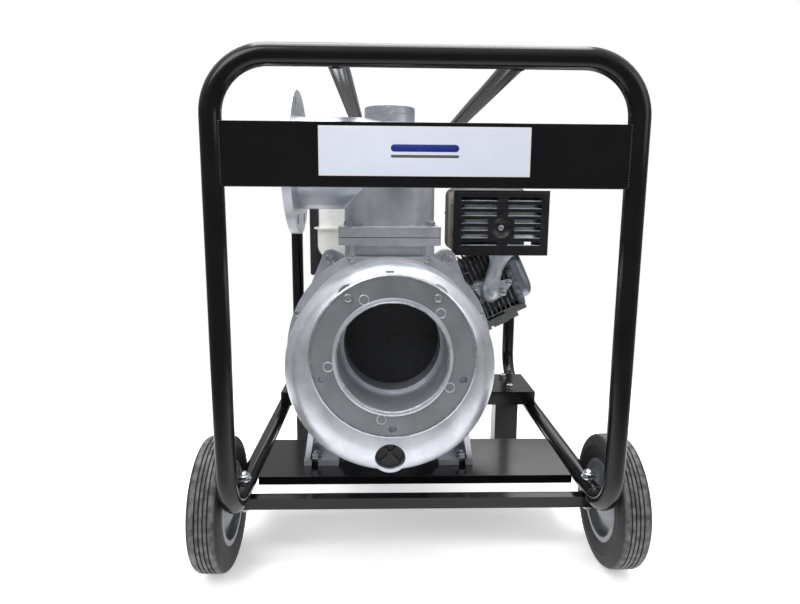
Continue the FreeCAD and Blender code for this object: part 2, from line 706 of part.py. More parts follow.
def makeImpeller():
    back = casingRear - 15
    vanes = []
    for number in range(3):
        vane = block((14, float(size("impellerRadius")) - 1), (-30, 1), (-3, 3))
        vanes.append(moveTo(fuse([vane]), 0, back - 6, shaftHeight, Rotation(Vector(0, 1, 0), number * 120)))
    hub = rod("Y", shaft, (-128, back), 22)
    disc = rod("Y", shaft, (back - 6, back), size("impellerRadius"))
    bore = rod("Y", shaft, (-123, back + 1), 12.5)
    finish(cut(fuse([hub, disc] + vanes), [bore]), "impeller", pumpPlace)
    ring = rod("Y", shaft, (-86, -66), 28)
    finish(cut(ring, [rod("Y", shaft, (-87, -65), size("shaftRadius") + 0.3)]), "mechanical_seal", pumpPlace)


def makeBracket():
    front = casingRear
    plateBack = front + 12
    engineFlange = size("ptoFace") - 12
    solids = [rod("Y", (0, 310), (front, plateBack), 171),
              rod("Y", shaft, (plateBack - 1, size("ptoFace")), 100),
              rod("Y", shaft, (engineFlange, size("ptoFace")), 108)]
    for hand in (-1, 1):
        solids.append(web(earOutline(hand), front, 12))
        solids.append(rod("Y", (hand * 102, 468), (front, plateBack), 16))
    tools = [rod("Y", shaft, (plateBack, size("ptoFace") + 1), 92),
             rod("Y", shaft, (front - 1, plateBack + 1), 28),
             block((-70.5, 70.5), (front - 1, plateBack + 1), (461.5, 500))]
    for hand in (-1, 1):
        low, high = sorted((hand * 60, hand * 120))
        tools.append(block((low, high), (plateBack + 18, engineFlange - 14),
                           (shaftHeight - 30, shaftHeight + 30)))
    tools += [rod("Y", place, (front - 1, plateBack + 1), 5.2) for place in earPlaces]
    finish(cut(fuse(solids), tools), "rear_bracket", pumpPlace)


def makePumpBolts():
    flangeFront = casingRear - 20
    bolts = [fastener("Y", place, (flangeFront, casingRear + 12), 10) for place in earPlaces]
    for place in coverBoltPlaces:
        underNeck = place[1].value > coverHeight.value and abs(float(place[0])) < 70
        bolts.append(fastener("Y", place, (coverRear - 10, casingFront + 10), coverThread, nut=not underNeck))
    low, high = size("neckTop") - 12, size("neckTop") + gasketThick + 16
    bolts += [fastener("Z", place, (low, high), 8, headLow=False, nut=False) for place in neckBoltPlaces]
    face = size("suctionFace")
    for place in suctionPlaces[2:4]:
        head = hexagon("Y", place, (face + 14, face + 21), 20)
        bolts.append(fuse([head, rod("Y", place, (face + 12, face + 14), 11),
                           rod("Y", place, (face - 1, face + 16), 5)]))
    finish(group(bolts), "pump_bolts", pumpPlace)


def makeFootBolts():
    plateTop = size("pumpPlateTop")
    bolts = [fastener("Z", (x, footBoltY), (plateTop - 3, plateTop + 10), 10) for x in footBoltXs]
    top = size("enginePlateTop")
    bolts += [fastener("Z", place, (top - 3, top + 12), 8) for place in engineBoltPlaces]
    finish(group(bolts), "foot_bolts")


# ---------------------------------------------------------------- engine
# Engine pieces are drawn about the crankshaft: X and Z from its middle line, Y as in the whole model.
enginePlace = (size("pumpOffset"), 0, shaftHeight)
cylinderPlace = (size("pumpOffset"), size("cylinderMiddle"), shaftHeight)
cylinderTurn = Rotation(Vector(0, 1, 0), -float(size("cylinderTilt")))
deck = size("deckHeight")
floor = size("enginePlateTop") - shaftHeight
ptoFace = size("ptoFace")
caseRear = size("crankcaseRear")
centre = (0, 0)


def tilted(pieces):
    """Pieces drawn along the cylinder (X) and across it (Z), turned to the cylinder's slope."""
    return moveTo(fuse(pieces), 0, size("cylinderMiddle"), 0, cylinderTurn)


def makeCrankcase():
    radius = size("crankcaseRadius")
    wall = 8
    solids = [rod("Y", centre, (ptoFace, caseRear), radius),
              block((-radius, radius), (ptoFace, caseRear), (floor, 0)),
              tilted([block((60, deck), (-62, 62), (-66, 60)), block((140, 200), (-45, 55), (-86, -64)),
                      block((199, 207), (-45, 55), (-81, -68)), block((206, 238), (-45, 55), (-85, -67)),
                      block((237, 262), (-45, 55), (-83, -61)), block((261, 284), (-45, 55), (-74, -60.5))])]
    solids += [rod("Z", (x, y), (70, 150), 8) for x in (-60, 55) for y in (75, 185)]
    for hand in (-1, 1):
        low, high = sorted((hand * 100, hand * 131))
        solids.append(block((low, high), (78, caseRear), (floor, floor + 12)))
    tools = [rod("Y", centre, (ptoFace + wall, caseRear - wall), radius - wall),
             block((wall - radius, radius - wall), (ptoFace + wall, caseRear - wall), (floor + wall, 0)),
             tilted([rod("X", centre, (40, deck + 1), size("boreRadius"))])]
    hollow = cut(fuse(solids), tools)
    linerOuter = rod("X", centre, (58, 110), 50)
    linerBore = rod("X", centre, (50, 120), size("boreRadius"))
    liner = moveTo(cut(linerOuter, [linerBore]), 0, size("cylinderMiddle"), 0, cylinderTurn)
    posts = [rod("Y", centre, (ptoFace, 78), 30), rod("Y", centre, (152, caseRear), 30)]
    ways = [rod("Y", centre, (ptoFace - 1, caseRear + 1), size("shaftRadius") + 0.3)]
    ways += [rod("Z", (x - size("pumpOffset"), y), (floor - 1, floor + 13), 4.3) for x, y in engineBoltPlaces]
    ways.append(rod("X", (60, floor + 34), (90, 125), 10.3))
    finish(cut(fuse([hollow, liner] + posts), ways), "crankcase", enginePlace)


def makeHead():
    top = deck + size("headLength")
    core = block((deck, top), (-52, 70), (-50, 60))
    finPitch, finThick, finCount, flangeThick = 10, 2.5, 10, 10
    fins = [block((deck + 3 + number * finPitch, deck + 3 + finThick + number * finPitch), (-57, 75), (-60, 68))
            for number in range(finCount)]
    fins.append(block((top - flangeThick, top), (-57, 75), (-60, 60)))
    port = rod("Y", (206, 0), (-57, -50), 24)
    finish(fuse([core, port] + fins), "cylinder_head", cylinderPlace, cylinderTurn)
    coverLong, coverRound = 31, 20
    cover = rounded(block((top, top + coverLong), (-50, 66), (-58, 54)), coverRound,
                    lambda edge: edge.BoundBox.XMax > float(top) + coverLong / 2)
    finish(cover, "valve_cover", cylinderPlace, cylinderTurn)
    plugPlace = (215, -40)
    plug = fuse([hexagon("Y", plugPlace, (75, 82), 22), rod("Y", plugPlace, (81, 96), 7),
                 rod("Y", plugPlace, (88, 112), 11)])
    finish(plug, "spark_plug", cylinderPlace, cylinderTurn)


def makeExhaust():
    left, right, front, back = 126.5, 313.5, 25, 155
    low, high, sheetMetal = 164, 290, 1.5
    solids = [block((left, right), (front, front + sheetMetal), (low, high)),
              block((left, right), (front, back), (high - sheetMetal, high)),
              block((right - sheetMetal, right), (front, back), (low, high)),
              block((left, left + sheetMetal), (front, front + 30), (low, high))]
    dish, dishRadius, dishDeep = (left + 94.3, 218), 19.5, 7.5
    solids.append(rod("Y", dish, (front, front + dishDeep), dishRadius))
    slotHalf, slotPitch, firstSlot = 3.3, 14.3, high - 16.4
    tools = [rod("Y", dish, (front - 1, front + dishDeep - sheetMetal), dishRadius - sheetMetal)]
    for row in range(7):
        level = firstSlot - row * slotPitch
        besideDish = row in (3, 4, 5)
        for start, end in ((15, 69), (119, 171)) if besideDish else ((15, 85.5), (106, 172)):
            tools.append(block((left + start, left + end), (front - 1, front + sheetMetal + 1),
                               (level - slotHalf, level + slotHalf)))
    screw = rod("Y", dish, (front + 1, front + dishDeep - sheetMetal + 0.2), 5)
    finish(fuse([cut(fuse(solids), tools), screw]), "muffler_guard", enginePlace)

    canLow = low + 28
    can = pillow((left + 10, right - 10), (front + 12, back - 8), (canLow, high - 8), 22)
    hollow = pillow((left + 12, right - 12), (front + 14, back - 10), (canLow + 2, high - 10), 20)
    pipeX, pipeY, turn = 206.5, 40, 17.8
    inlet = rod("Z", (pipeX, pipeY + 14), (canLow - 1, canLow + 30), 13)
    boss = rod("Y", dish, (front + dishDeep, front + 20), 6)
    finish(cut(fuse([cut(can, [hollow]), boss]), [inlet]), "muffler", enginePlace)

    pipeOuter, pipeBore = 15, 12.5
    portFace = pipeY + turn
    level = 92
    earShift, earSlope = 27, 0.3
    earPlaced = [(pipeX + x, level + x * earSlope) for x in (-earShift, earShift)]

    def run(radius):
        return [bend((pipeX, pipeY + turn, level + turn), turn, radius, Vector(0, 0, -1), Vector(0, -1, 0)),
                rod("Z", (pipeX, pipeY), (level + turn, low - 1), radius),
                rod("Z", (pipeX, pipeY + 7), (low - 3, canLow), radius - 5)]

    flange = rod("Y", (pipeX, level), (portFace - 6, portFace), 21)
    ears = [rod("Y", place, (portFace - 6, portFace), 9) for place in earPlaced]
    nuts = [hexagon("Y", place, (portFace - 14, portFace - 5), 15) for place in earPlaced]
    bridge = block((pipeX - earShift, pipeX + earShift), (portFace - 6, portFace), (level - 9, level + 9))
    outside = run(pipeOuter) + [flange, bridge] + ears + nuts
    finish(cut(fuse(outside), run(pipeBore)), "exhaust_pipe", enginePlace)


def makeFanSide():
    radius, rear = size("fanRadius"), size("fanRear")
    outer = turned([(caseRear, 40), (caseRear, radius), (rear - 12, radius), (rear, radius - 8),
                    (rear, 74), (rear - 2, 74), (rear - 2, radius - 9), (rear - 13, radius - 2),
                    (caseRear + 2, radius - 2), (caseRear + 2, 40)])
    finish(outer, "fan_cover", enginePlace, alongY)

    end = size("recoilRear")
    profile = [(rear, 88), (rear, 100), (rear + 4, 100), (rear + 6, 95), (end - 22, 92), (end, 72),
               (end, 0), (end - 3, 0), (end - 3, 70), (end - 24, 89), (rear + 6, 92), (rear + 3, 88)]
    cover = moveTo(turned(profile), 0, 0, 0, alongY)
    post = rod("Y", centre, (300, end - 1), 8)
    ropeWay = moveTo(fuse([rod("Z", (0, 0), (60, 130), 4)]), 0, 313, 0, Rotation(Vector(0, 1, 0), 45))
    finish(cut(fuse([cover, post]), [ropeWay]), "recoil_cover", enginePlace)
    spool = turned([(304, 8.05), (304, 60), (307, 60), (307, 50), (319, 50), (319, 60), (322, 60), (322, 8.05)])
    finish(spool, "starter_spool", enginePlace, alongY)
    grip = fuse([rod("X", centre, (-45, 45), 11), rod("Z", centre, (-24, 0), 8)])
    finish(grip, "starter_handle", (size("pumpOffset") + 90.5, 313, shaftHeight + 90.5),
           Rotation(Vector(0, 1, 0), 45))

    hubEnd = 282
    wheel = moveTo(turned([(214, 15), (214, 104), (250, 104), (250, 90), (226, 86), (226, 30), (270, 30),
                           (270, 36), (hubEnd, 36), (hubEnd, 32), (266, 26), (266, 15)]), 0, 0, 0, alongY)
    blades = []
    for number in range(12):
        blade = block((88, 102), (249, 272), (-1.5, 1.5))
        blades.append(moveTo(fuse([blade]), 0, 0, 0, Rotation(Vector(0, 1, 0), number * 30)))
    finish(fuse([wheel] + blades), "flywheel", enginePlace)


def makeCrankTrain():
    web1, web2 = (86, 99), (131, 144)
    thick = size("shaftRadius")
    front = fuse([rod("Y", centre, (-122, -89), 12.5), rod("Y", centre, (-90, web1[0]), thick),
                  rod("Y", centre, web1, 53)])
    rear = fuse([rod("Y", centre, web2, 53), rod("Y", centre, (web2[0], 214), thick),
                 rod("Y", centre, (213, 268), 15)])
    finish(group([front, rear]), "crankshaft", enginePlace)

    crank = size("stroke") / 2
    pinAt = crank + size("rodLength")
    skirt, crown = pinAt - 22, pinAt + 30
    piston = cut(rod("X", centre, (skirt, crown), size("boreRadius") - 0.3),
                 [rod("X", centre, (skirt - 1, crown - 8), 37)])
    gudgeon = rod("Y", (pinAt, 0), (-38, 38), 10)
    finish(fuse([piston, gudgeon]), "piston", cylinderPlace, cylinderTurn)
    smallEnd = rod("Y", (pinAt, 0), (-12, 12), 17)
    bigEnd = rod("Y", (crank, 0), (-12, 12), 26)
    shank = block((crank + 20, pinAt - 12), (-7, 7), (-9, 9))
    crankPin = rod("Y", (crank, 0), (-15.4, 15.4), 17)
    body = cut(fuse([smallEnd, bigEnd, shank, crankPin]), [rod("Y", (pinAt, 0), (-13, 13), 10)])
    finish(body, "connecting_rod", cylinderPlace, cylinderTurn)


def makeTank():
    xs, ys = (-145.5, 92.5), (70, 298)
    low, high, seam = 150, 300, 213
    below, above = (-400, 400), (-400, 400)
    lower = common(pillow(xs, ys, (low, high), 28), block(below, above, (low, seam)))
    upper = common(pillow((xs[0] + 2, xs[1] - 2), (ys[0] + 2, ys[1] - 2), (low, high), 34),
                   block(below, above, (seam, high)))
    lip = block((xs[0] - 6, xs[1] + 6), (ys[0] - 6, ys[1]), (seam - 1.5, seam + 1.5))
    flange = rounded(lip, 26, uprightEdge)
    inside = pillow((xs[0] + 5, xs[1] - 5), (ys[0] + 5, ys[1] - 5), (low + 3, high - 3), 28)
    neck = (-30, 190)
    filler = rod("Z", neck, (high - 5, high + 10), 28)
    hole = rod("Z", neck, (high - 10, high + 11), 24)
    finish(cut(fuse([lower, upper, flange, filler]), [inside, hole]), "fuel_tank", enginePlace)
    capShape = cut(rod("Z", neck, (high + 1, high + 20), 35), [rod("Z", neck, (high, high + 12), 28.4)])
    finish(capShape, "fuel_cap", enginePlace)


def makeIntake():
    cleaner = pillow((136, 310), (192, 298), (158, 300), 18)
    inside = pillow((139, 307), (195, 295), (161, 297), 15)
    snout = rod("Z", (200, 215), (150, 162), 20)
    snoutWay = rod("Z", (200, 215), (149, 163), 15)
    finish(cut(fuse([cleaner, snout]), [inside, snoutWay]), "air_cleaner", enginePlace)

    body = block((178, 222), (194, 236), (110, 150))
    bowl = rod("Z", (200, 215), (84, 111), 18)
    manifold = rod("Y", (200, 118), (190, 195), 16)
    passage = rod("Z", (200, 215), (120, 151), 13)
    levers = {"choke_lever": (188, 141), "fuel_tap": (212, 118)}
    ways = [rod("Y", place, (225, 237), 3.05) for place in levers.values()]
    finish(cut(fuse([body, bowl, manifold]), [passage] + ways), "carburetor", enginePlace)
    for label, (x, z) in levers.items():
        arm = fuse([block((x - 4, x + 4), (236.4, 239.4), (z - 32, z)), rod("Y", (x, z), (236.4, 240.4), 6),
                    rod("Y", (x, z), (226, 237), 3), rod("Y", (x, z - 30), (236.4, 244), 5)])
        finish(arm, label, enginePlace)

    pivot = (85, 73)
    arm = moveTo(fuse([block((0, 60), (0, 3), (-6, 6)), rod("Y", (60, 0), (0, 9), 8)]),
                 pivot[0], float(size("fanRear")) + 0.4, pivot[1], Rotation(Vector(0, 1, 0), -40))
    finish(fuse([arm, rod("Y", pivot, (size("fanRear") + 0.4, size("fanRear") + 6), 9)]),
           "throttle_lever", enginePlace)


def makeControls():
    box = block((-176.5, -152), (215, 285), (100, 256))
    shelf = block((-153, -122), (235, 265), (20, 115))
    keyWay = rod("Y", (-161, 220), (272, 286), 7.05)
    fanBody = rod("Y", centre, (caseRear - 1, size("fanRear")), size("fanRadius"))
    finish(cut(fuse([rounded(box, 5), shelf]), [keyWay, fanBody]), "switch_box", enginePlace)
    key = fuse([rod("Y", (-161, 220), (274, 285.4), 7), rod("Y", (-161, 220), (285.4, 289), 8.5),
                block((-162, -160), (288, 306), (211, 229))])
    finish(key, "key_switch", enginePlace)
    fillHole = (60, floor + 34)
    cap = fuse([rod("X", fillHole, (92, 110.5), 10), rod("X", fillHole, (110.4, 120), 15)])
    finish(cap, "oil_plug", enginePlace)


# ---------------------------------------------------------------- build, check and write
def build():
    makeHoops()
    makeRails()
    makeFrontBeam()
    makePlates()
    makeLegs()
    makeAxle()
    makeFrameBolts()
    makeWheels()
    makeSuctionCover()
    makeCheckValve()
    makeCasing()
    makeVolute()
    makeGaskets()
    makeElbow()
    makeDrainPlug()
    makeImpeller()
    makeBracket()
    makePumpBolts()
    makeFootBolts()
    makeCrankcase()
    makeHead()
    makeExhaust()
    makeFanSide()
    makeCrankTrain()
    makeTank()
    makeIntake()
    makeControls()


def writeParts():
    doc.recompute()
    failed = [piece for piece in doc.Objects if "Invalid" in piece.State or "Error" in piece.State]
    for piece in failed:
        users = [user.Label for user in piece.InListRecursive]
        print("failed:", piece.Label, piece.getStatusString(), "used by", users)
    if failed:
        raise RuntimeError("%d failed objects" % len(failed))
    for piece in subParts:
        if piece.Shape.isNull() or not piece.Shape.isValid():
            raise RuntimeError("bad shape: " + piece.Label)
    for piece in subParts:
        piece.Shape.exportStep("parts/%s.step" % piece.Label)
        bounds = piece.Shape.BoundBox
        print("%-20s solids %2d  volume %9.1f cm3  x %7.1f %7.1f  y %7.1f %7.1f  z %6.1f %6.1f" % (
            piece.Label, len(piece.Shape.Solids), piece.Shape.Volume / 1000, bounds.XMin, bounds.XMax,
            bounds.YMin, bounds.YMax, bounds.ZMin, bounds.ZMax))
    print(len(subParts), "sub-parts")


build()
writeParts()
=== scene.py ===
import json
import math

import bmesh
import bpy
from mathutils import Matrix, Vector

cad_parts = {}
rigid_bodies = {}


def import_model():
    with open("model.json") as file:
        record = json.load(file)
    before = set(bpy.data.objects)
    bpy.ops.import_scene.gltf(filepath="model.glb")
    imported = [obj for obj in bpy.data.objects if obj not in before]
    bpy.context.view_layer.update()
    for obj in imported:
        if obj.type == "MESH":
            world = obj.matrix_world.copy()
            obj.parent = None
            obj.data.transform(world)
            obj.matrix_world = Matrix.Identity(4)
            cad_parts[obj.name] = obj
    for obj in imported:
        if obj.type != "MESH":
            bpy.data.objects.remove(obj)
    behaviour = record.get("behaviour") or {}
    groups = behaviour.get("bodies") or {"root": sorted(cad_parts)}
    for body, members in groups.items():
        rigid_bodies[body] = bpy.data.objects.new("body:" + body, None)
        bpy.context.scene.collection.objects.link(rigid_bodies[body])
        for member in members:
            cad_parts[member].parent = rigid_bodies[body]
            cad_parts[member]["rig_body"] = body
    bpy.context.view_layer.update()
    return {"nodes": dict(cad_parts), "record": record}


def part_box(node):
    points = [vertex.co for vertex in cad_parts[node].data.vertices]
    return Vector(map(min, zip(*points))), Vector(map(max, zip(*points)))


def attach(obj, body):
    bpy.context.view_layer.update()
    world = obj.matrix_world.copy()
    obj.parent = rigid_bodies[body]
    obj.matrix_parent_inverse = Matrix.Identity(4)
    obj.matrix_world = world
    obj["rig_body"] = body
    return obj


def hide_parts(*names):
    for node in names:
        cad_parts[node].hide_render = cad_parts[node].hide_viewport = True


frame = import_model()
nodes = frame["nodes"]
mm = 0.001
pumpX, shaftZ = -44.5 * mm, 300 * mm  # the pump and the crankshaft share this centre line
cylinderY = 115 * mm
print("frame loaded:", len(nodes), "nodes")


# ---- shared helpers
def linear(hexColour):
    parts = [int(hexColour[i:i + 2], 16) / 255 for i in (1, 3, 5)]
    return [c / 12.92 if c <= 0.04045 else ((c + 0.055) / 1.055) ** 2.4 for c in parts] + [1.0]


def addNode(tree, kind, inputs={}, **settings):
    # an input is a plain value, or the output socket that it is linked to
    node = tree.nodes.new(kind)
    for name, value in settings.items():
        setattr(node, name, value)
    for key, value in inputs.items():
        if isinstance(value, bpy.types.NodeSocket):
            tree.links.new(value, node.inputs[key])
        else:
            node.inputs[key].default_value = value
    return node


def rideAs(obj, body, replaced=()):
    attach(obj, body)
    if replaced:
        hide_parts(*replaced)
    return obj


def smoothByAngle(mesh, degrees):
    mesh.shade_smooth()
    mesh.set_sharp_from_angle(angle=math.radians(degrees))


def bakeModifiers(obj):
    # the evaluated shape becomes the object's own mesh, and the modifiers go
    graph = bpy.context.evaluated_depsgraph_get()
    mesh = bpy.data.meshes.new_from_object(obj.evaluated_get(graph))
    obj.modifiers.clear()
    obj.data = mesh
    return obj


def newPiece(name, mesh, *materials):
    obj = bpy.data.objects.new(name, mesh)
    bpy.context.scene.collection.objects.link(obj)
    if mesh.materials:
        mesh.materials.clear()
    for m in materials:
        mesh.materials.append(m)
    return obj


def nodeMesh(nodeName):
    # a merged copy of a node's mesh, with its flat faces joined
    bm = bmesh.new()
    bm.from_mesh(nodes[nodeName].data)
    bmesh.ops.remove_doubles(bm, verts=bm.verts, dist=2e-6)
    bmesh.ops.dissolve_limit(bm, angle_limit=math.radians(0.4), verts=bm.verts, edges=bm.edges,
                             use_dissolve_boundaries=False)
    mesh = bpy.data.meshes.new(nodeName + "_merged")
    bm.to_mesh(mesh)
    bm.free()
    for name in [a.name for a in mesh.attributes if a.name in ("sharp_edge", "custom_normal")]:
        mesh.attributes.remove(mesh.attributes[name])
    return mesh


def polished(nodeName, material, round_=0.6 * mm, steps=2, name=None):
    # the node's own shape, with its corners eased as the real process leaves them
    obj = newPiece(name or nodeName + "_skin", nodeMesh(nodeName), material)
    smoothByAngle(obj.data, 32)
    if round_:
        ease = obj.modifiers.new("ease", "BEVEL")
        ease.width = round_
        ease.segments = steps
        ease.limit_method = "ANGLE"
        ease.angle_limit = math.radians(38)
        ease.miter_outer = "MITER_ARC"
        ease.harden_normals = True
    return rideAs(bakeModifiers(obj) if round_ else obj, nodes[nodeName]["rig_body"], [nodeName])


def islands(nodeName):
    # the separate solids of a node, each as the lowest and highest corner of its box
    bm = bmesh.new()
    bm.from_mesh(nodes[nodeName].data)
    bmesh.ops.remove_doubles(bm, verts=bm.verts, dist=2e-6)
    left, found = set(bm.verts), []
    while left:
        front, mine = [left.pop()], []
        while front:
            vert = front.pop()
            mine.append(vert.co.copy())
            for edge in vert.link_edges:
                other = edge.other_vert(vert)
                if other in left:
                    left.discard(other)
                    front.append(other)
        found.append((Vector(min(c[i] for c in mine) for i in range(3)),
                      Vector(max(c[i] for c in mine) for i in range(3))))
    bm.free()
    return sorted(found, key=lambda box: tuple(round(c, 4) for c in box[0]))


def meshFrom(verts, faces, merge=1e-6):
    # a closed mesh from points and faces, with its normals pointing out
    bm = bmesh.new()
    made = [bm.verts.new(v) for v in verts]
    for face in faces:
        bm.faces.new([made[i] for i in face])
    bmesh.ops.remove_doubles(bm, verts=bm.verts, dist=merge)
    bmesh.ops.recalc_face_normals(bm, faces=bm.faces)
    mesh = bpy.data.meshes.new("made")
    bm.to_mesh(mesh)
    bm.free()
    return mesh


def spunMesh(profile, axis, middle, steps=96):
    # a closed outline of (along, radius) turned about an axis; middle is the axis's place across it
    side = "XYZ".index(axis)
    across = [i for i in range(3) if i != side]
    verts, count = [], len(profile)
    for step in range(steps):
        angle = 2 * math.pi * step / steps
        for along, radius in profile:
            point = [0.0, 0.0, 0.0]
            point[side] = along
            point[across[0]] = middle[0] + radius * math.cos(angle)
            point[across[1]] = middle[1] + radius * math.sin(angle)
            verts.append(point)
    faces = [(s * count + i, s * count + (i + 1) % count, (s + 1) % steps * count + (i + 1) % count,
              (s + 1) % steps * count + i) for s in range(steps) for i in range(count)]
    faces = [f for f in faces if len({tuple(round(c, 7) for c in verts[i]) for i in f}) > 2]
    return meshFrom(verts, faces)


def arc(centre, radius, start, end, steps):
    # points of an arc, its angles in degrees
    turns = [math.radians(start + (end - start) * i / steps) for i in range(steps + 1)]
    return [(centre[0] + radius * math.cos(t), centre[1] + radius * math.sin(t)) for t in turns]


def roundedOutline(middle, wide, tall, radius, steps=6):
    # a rectangle with round corners; a slot when the radius is half its height
    x, y = wide / 2 - radius, tall / 2 - radius
    corners = [(x, y, 0), (-x, y, 90), (-x, -y, 180), (x, -y, 270)]
    return [p for cx, cy, turn in corners
            for p in arc((middle[0] + cx, middle[1] + cy), radius, turn, turn + 90, steps)]


def flatPlate(name, outlines, thick, edge, place, *materials):
    # a flat sheet with holes and eased edges, drawn in X and Y and then put in place
    curve = bpy.data.curves.new(name, "CURVE")
    curve.dimensions, curve.fill_mode = "2D", "BOTH"
    curve.extrude, curve.bevel_depth, curve.offset = thick / 2 - edge, edge, -edge
    curve.bevel_resolution = 1
    for outline in outlines:
        spline = curve.splines.new("POLY")
        spline.points.add(len(outline) - 1)
        spline.points.foreach_set("co", [c for p in outline for c in (p[0], p[1], 0.0, 1.0)])
        spline.use_cyclic_u = True
    drawn = bpy.data.objects.new(name + "_drawn", curve)
    bpy.context.scene.collection.objects.link(drawn)
    bm = bmesh.new()
    bm.from_mesh(bpy.data.meshes.new_from_object(drawn))
    bpy.data.objects.remove(drawn)
    bmesh.ops.remove_doubles(bm, verts=bm.verts, dist=1e-6)
    bmesh.ops.recalc_face_normals(bm, faces=bm.faces)
    bm.transform(place)
    mesh = bpy.data.meshes.new(name)
    bm.to_mesh(mesh)
    bm.free()
    obj = newPiece(name, mesh, *materials)
    smoothByAngle(mesh, 40)
    return obj


def standing(x, y, z, facing="Y"):
    # puts a sheet drawn in X and Y upright: its front looks along -Y, or along +X
    turns = {"Y": Matrix.Rotation(math.radians(90), 4, "X"),
             "X": Matrix.Rotation(math.radians(90), 4, "Z") @ Matrix.Rotation(math.radians(90), 4, "X"),
             "Z": Matrix.Identity(4)}
    return Matrix.Translation((x, y, z)) @ turns[facing]


def joinMeshes(name, objects):
    # several made pieces become one
    bm = bmesh.new()
    mats = []
    for obj in objects:
        start = len(bm.faces)
        bm.from_mesh(obj.data)
        bm.faces.ensure_lookup_table()
        for face in bm.faces[start:]:
            mat = obj.data.materials[face.material_index]
            if mat not in mats:
                mats.append(mat)
            face.material_index = mats.index(mat)
    mesh = bpy.data.meshes.new(name)
    bm.to_mesh(mesh)
    bm.free()
    for obj in objects:
        bpy.data.objects.remove(obj)
    return newPiece(name, mesh, *mats)


# ---- geometry trees
def newTree(name, inputs):
    # a tree with named inputs: each is its socket kind and its first value
    tree = bpy.data.node_groups.new(name, "GeometryNodeTree")
    tree.interface.new_socket("Geometry", in_out="INPUT", socket_type="NodeSocketGeometry")
    for label, (kind, value) in inputs.items():
        socket = tree.interface.new_socket(label, in_out="INPUT", socket_type="NodeSocket" + kind)
        if value is not None:
            socket.default_value = value
    tree.interface.new_socket("Geometry", in_out="OUTPUT", socket_type="NodeSocketGeometry")
    return tree, tree.nodes.new("NodeGroupInput").outputs


def endTree(tree, shape, material):
    real = addNode(tree, "GeometryNodeRealizeInstances", {0: shape})
    done = addNode(tree, "GeometryNodeSetMaterial", {"Geometry": real.outputs[0], "Material": material})
    addNode(tree, "NodeGroupOutput", {0: done.outputs[0]})
    return tree


def seedMesh(places, aims=None, sizes=None, edges=()):
    # starting points for a tree, each with the way it faces and its size
    mesh = bpy.data.meshes.new("seeds")
    mesh.from_pydata([tuple(p) for p in places], list(edges), [])
    aims = aims or [(0, 0, 1)] * len(places)
    sizes = sizes or [1.0] * len(places)
    mesh.attributes.new("aim", "FLOAT_VECTOR", "POINT").data.foreach_set("vector",
                                                                         [c for a in aims for c in a])
    mesh.attributes.new("size", "FLOAT", "POINT").data.foreach_set("value", sizes)
    return mesh


def grow(name, seeds, tree, values, material, smooth=35):
    # runs a tree on its starting points and keeps the plain mesh that comes out
    obj = newPiece(name, seeds)
    mod = obj.modifiers.new("grow", "NODES")
    mod.node_group = tree
    values = dict(values, Material=material)
    for item in tree.interface.items_tree:
        if item.item_type == "SOCKET" and item.in_out == "INPUT" and item.name in values:
            mod[item.identifier] = values[item.name]
    obj.update_tag()
    bpy.context.view_layer.update()
    bakeModifiers(obj)
    smoothByAngle(obj.data, smooth)
    return obj


def onSeeds(tree, given, shape):
    # puts a shape on every starting point, turned and sized as the point says
    aim = addNode(tree, "GeometryNodeInputNamedAttribute", {"Name": "aim"}, data_type="FLOAT_VECTOR")
    size = addNode(tree, "GeometryNodeInputNamedAttribute", {"Name": "size"}, data_type="FLOAT")
    turn = addNode(tree, "FunctionNodeAlignRotationToVector", {"Vector": aim.outputs[0]}, axis="Z")
    return addNode(tree, "GeometryNodeInstanceOnPoints",
                   {"Points": given["Geometry"], "Instance": shape, "Rotation": turn.outputs[0],
                    "Scale": size.outputs[0]}).outputs[0]


def lifted(tree, shape, height):
    # a shape moved up its own Z by a value or a socket
    offset = addNode(tree, "ShaderNodeCombineXYZ", {2: height})
    return addNode(tree, "GeometryNodeTransform", {"Geometry": shape,
                                                   "Translation": offset.outputs[0]}).outputs[0]


